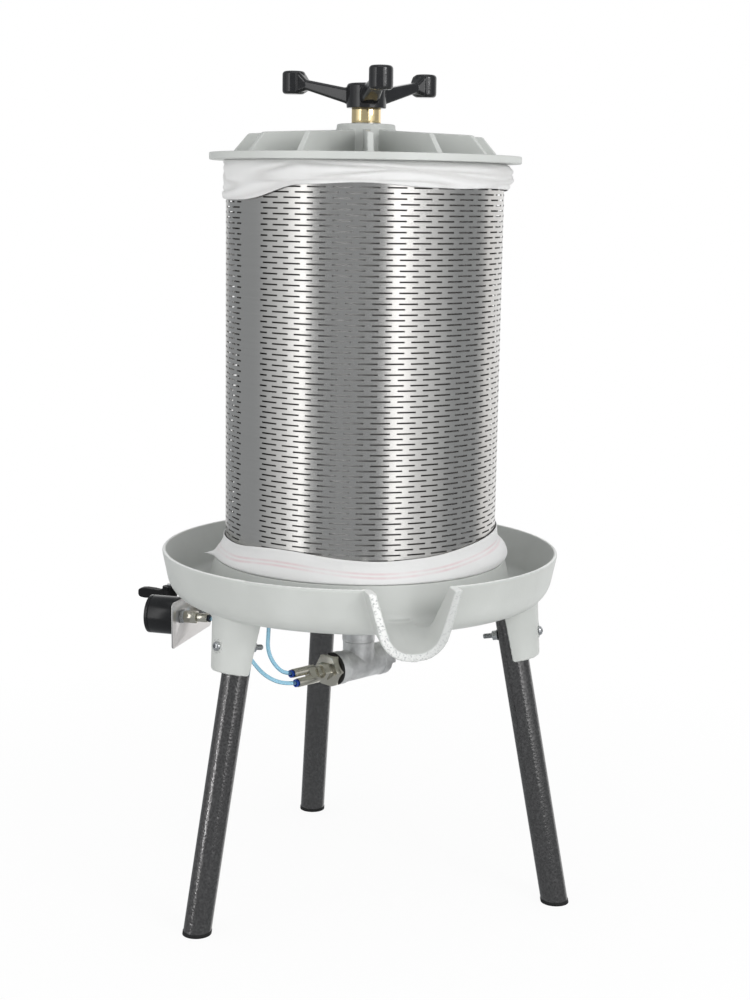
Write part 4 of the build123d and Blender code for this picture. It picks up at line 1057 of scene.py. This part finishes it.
# %% Small parts
hand_over(cast("pipe_tee", 0.0012, 12), "stand", "tee_iron", tee_iron, "pipe_tee")
hand_over(cast("tee_plug", 0.0008, 4), "stand", "tee_iron", tee_iron, "tee_plug")
small_parts = [
    (brass, "brass", 0.0008, ["brass_nut"]),
    (nickel, "nickel_brass", 0.0006, ["reducer_bushing", "y_fitting", "gauge_adapter", "gauge_push_in",
                                      "valve_adapter", "valve_push_in", "valve_bulkhead", "valve_body"]),
    (zinc, "fastener", 0.0005, ["leg_nuts", "leg_washers", "panel_screws", "lever_nut", "gauge_lock_nut",
                                "valve_lock_nut", "post_lock_nut", "thrust_washer"]),
    (polished, "stainless", 0.0004, ["control_panel", "bladder_clamp_lower", "bladder_clamp_upper"]),
    (blue_plastic, "blue_plastic", 0.0004, ["release_ring_upper", "release_ring_lower"]),
    # The rings by the gauge and the valve take the painted-shade copy of the blue plastic.
    (blue_plastic_in_shade, "blue_plastic", 0.0004, ["release_ring_gauge", "release_ring_valve"]),
    (rubber, "rubber", 0.0006, ["post_seal", "reducer_seal"]),
]
for finish, slot, width, group in small_parts:
    for node in group:
        hand_over(machined(node, width), body_of(nodes[node])[0], slot, finish, node)
paint(brass, "bourdon_tube", "gauge_movement", "gauge_stem")
paint(nickel, "valve_ball", "valve_stem")

# %% [markdown]
# ## Gauge face
#
# The dial looks away from the spout, behind a clear window. It is a white plate with a ring of marks, a long one
# for every five. Each mark is a thin block, sized at the top of the dial and then turned about the gauge's axis.
# The window is clear glass, so it is all but transparent and keeps only its shine.

# %% Gauge face
gauge_axis = Vector((math.cos(math.radians(150)), math.sin(math.radians(150)), 0))
gauge_centre = Vector((-0.25633, 0.09603, 0.402))
mark_count = 31
mark_sweep = 270.0
mark_height = 0.0002
long_mark = (0.0207, 0.0013, 0.006)
short_mark = (0.0222, 0.0007, 0.003)

dial_white = Finish("dial_white", Roughness=0.5)
dial_white.set(Base_Color=dial_white.mix(dial_white.noise(60), (0.86, 0.86, 0.84), (0.91, 0.91, 0.89)))
paint(dial_white, "gauge_dial")
pointer_black = Finish("pointer_black", Roughness=0.45)
pointer_black.set(Base_Color=pointer_black.mix(pointer_black.noise(80), (0.012, 0.012, 0.012), (0.02, 0.02, 0.02)))
paint(pointer_black, "gauge_pointer")
glass = Finish("glass", Roughness=0.03, Alpha=0.06)
glass.set(Base_Color=glass.mix(glass.noise(20), (0.95, 0.97, 0.97), (1.0, 1.0, 1.0)))
paint(glass, "gauge_lens")

dial_plane = Matrix.Translation(gauge_centre) @ gauge_axis.to_track_quat("Z", "Y").to_matrix().to_4x4()
face_level = max((dial_plane.inverted() @ corner.co).z for corner in nodes["gauge_dial"].data.vertices)
marks = []
for number in range(mark_count):
    radius, wide, tall = long_mark if number % 5 == 0 else short_mark
    put_down()
    bpy.ops.mesh.primitive_cube_add(size=1, location=(0, radius, face_level))
    mark = start("gauge_mark")
    mark.scale = (wide, tall, mark_height)
    settle(mark)
    turn_by = math.radians(mark_sweep / 2 - number * mark_sweep / (mark_count - 1))
    mark.matrix_world = dial_plane @ Matrix.Rotation(turn_by, 4, "Z")
    marks.append(settle(mark))
hand_over(join("gauge_marks", marks), "stand", "pointer_black", pointer_black)

# %% [markdown]
# ## Post
#
# Inside the basket stands the post, a galvanised pipe with a round-topped screw thread at its upper end. The post
# is turned, and the thread is a single ridge drawn up round it by a Screw modifier, because this thread is coarse
# enough for its climb to show.

# %% Post
thread_lead = 0.006
thread_low, thread_high = 1.071, 1.181
post_profile = [(0, 0.3735), (0.01685, 0.3735), (0.01685, 0.512), (0.0375, 0.512), (0.038, 0.5125), (0.038, 0.5215),
                (0.0375, 0.522), (0.01685, 0.522), (0.01685, 1.0695), (0.0122, 1.0715), (0.0122, 1.1825),
                (0.0112, 1.184), (0, 1.184)]
post = lathe("post_rod", post_profile, 48)
ridge_profile = [(0.0118, 0), (0.0131, 0.0006), (0.0149, 0.0018), (0.0150, 0.0026), (0.0149, 0.0034),
                 (0.0131, 0.0046), (0.0118, 0.0052)]
ridge = draw_profile("post_ridge", [(r, thread_low + z) for r, z in ridge_profile])
put_down()
modify(ridge, "SCREW", axis="Z", angle=2 * math.pi, screw_offset=thread_lead, steps=40, render_steps=40,
       iterations=int((thread_high - thread_low) / thread_lead))
post = join("post_threaded", [post, ridge])
edit(post)
bpy.ops.mesh.select_all(action="SELECT")
bpy.ops.mesh.normals_make_consistent(inside=False)
put_down()
smooth(post, 40)
galvanised = Finish("galvanised", Metallic=1.0)
flower = galvanised.cells(90)
galvanised.set(Base_Color=galvanised.mix(flower, (0.42, 0.43, 0.44), (0.58, 0.59, 0.60)))
galvanised.set(Roughness=galvanised.spread(galvanised.noise(120), 0.3, 0.7, 0.3, 0.48))
hand_over(post, "stand", "post_steel", galvanised, "post")

# %% [markdown]
# ## Bladder
#
# The rubber bladder hangs empty round the post and presses the fruit outward when air fills it. It is turned as a
# full, round skin and then pulled in between seven folds, which wander a little on their way up. A simulation could
# empty it too, but the folds would then change with every run.

# %% Bladder
bladder_folds = 7
bladder_wall = 0.002
bladder_profile = [(0.0172, 0.5262), (0.0238, 0.5262), (0.0238, 0.5510), (0.0270, 0.5610), (0.0380, 0.5760),
                   (0.0500, 0.5930), (0.0580, 0.6160), (0.0612, 0.6460)]
bladder_profile += [(0.0618, h) for h in np.linspace(0.676, 0.9, 14)]
bladder_profile += [(0.0612, 0.9300), (0.0580, 0.9600), (0.0500, 0.9830), (0.0380, 1.0000), (0.0270, 1.0150),
                    (0.0238, 1.0250), (0.0238, 1.0498), (0.0172, 1.0498)]
bladder = lathe("bladder_skin", bladder_profile, 144)
points = read_points(bladder)
radius = np.hypot(points[:, 0], points[:, 1])
azimuth = np.arctan2(points[:, 1], points[:, 0])
belly = np.clip((radius - 0.026) / 0.036, 0, 1)
fold = 0.5 - 0.5 * np.cos(bladder_folds * azimuth + 0.6 * np.sin(9 * points[:, 2]))
points[:, :2] *= (1 - belly * 0.42 * fold ** 3)[:, None]
write_points(bladder, points)
tidy_mesh(bladder)
modify(bladder, "SOLIDIFY", thickness=bladder_wall, offset=-1)
pick_up(bladder)
bpy.ops.object.shade_smooth()
hand_over(bladder, "stand", "rubber", rubber, "bladder")
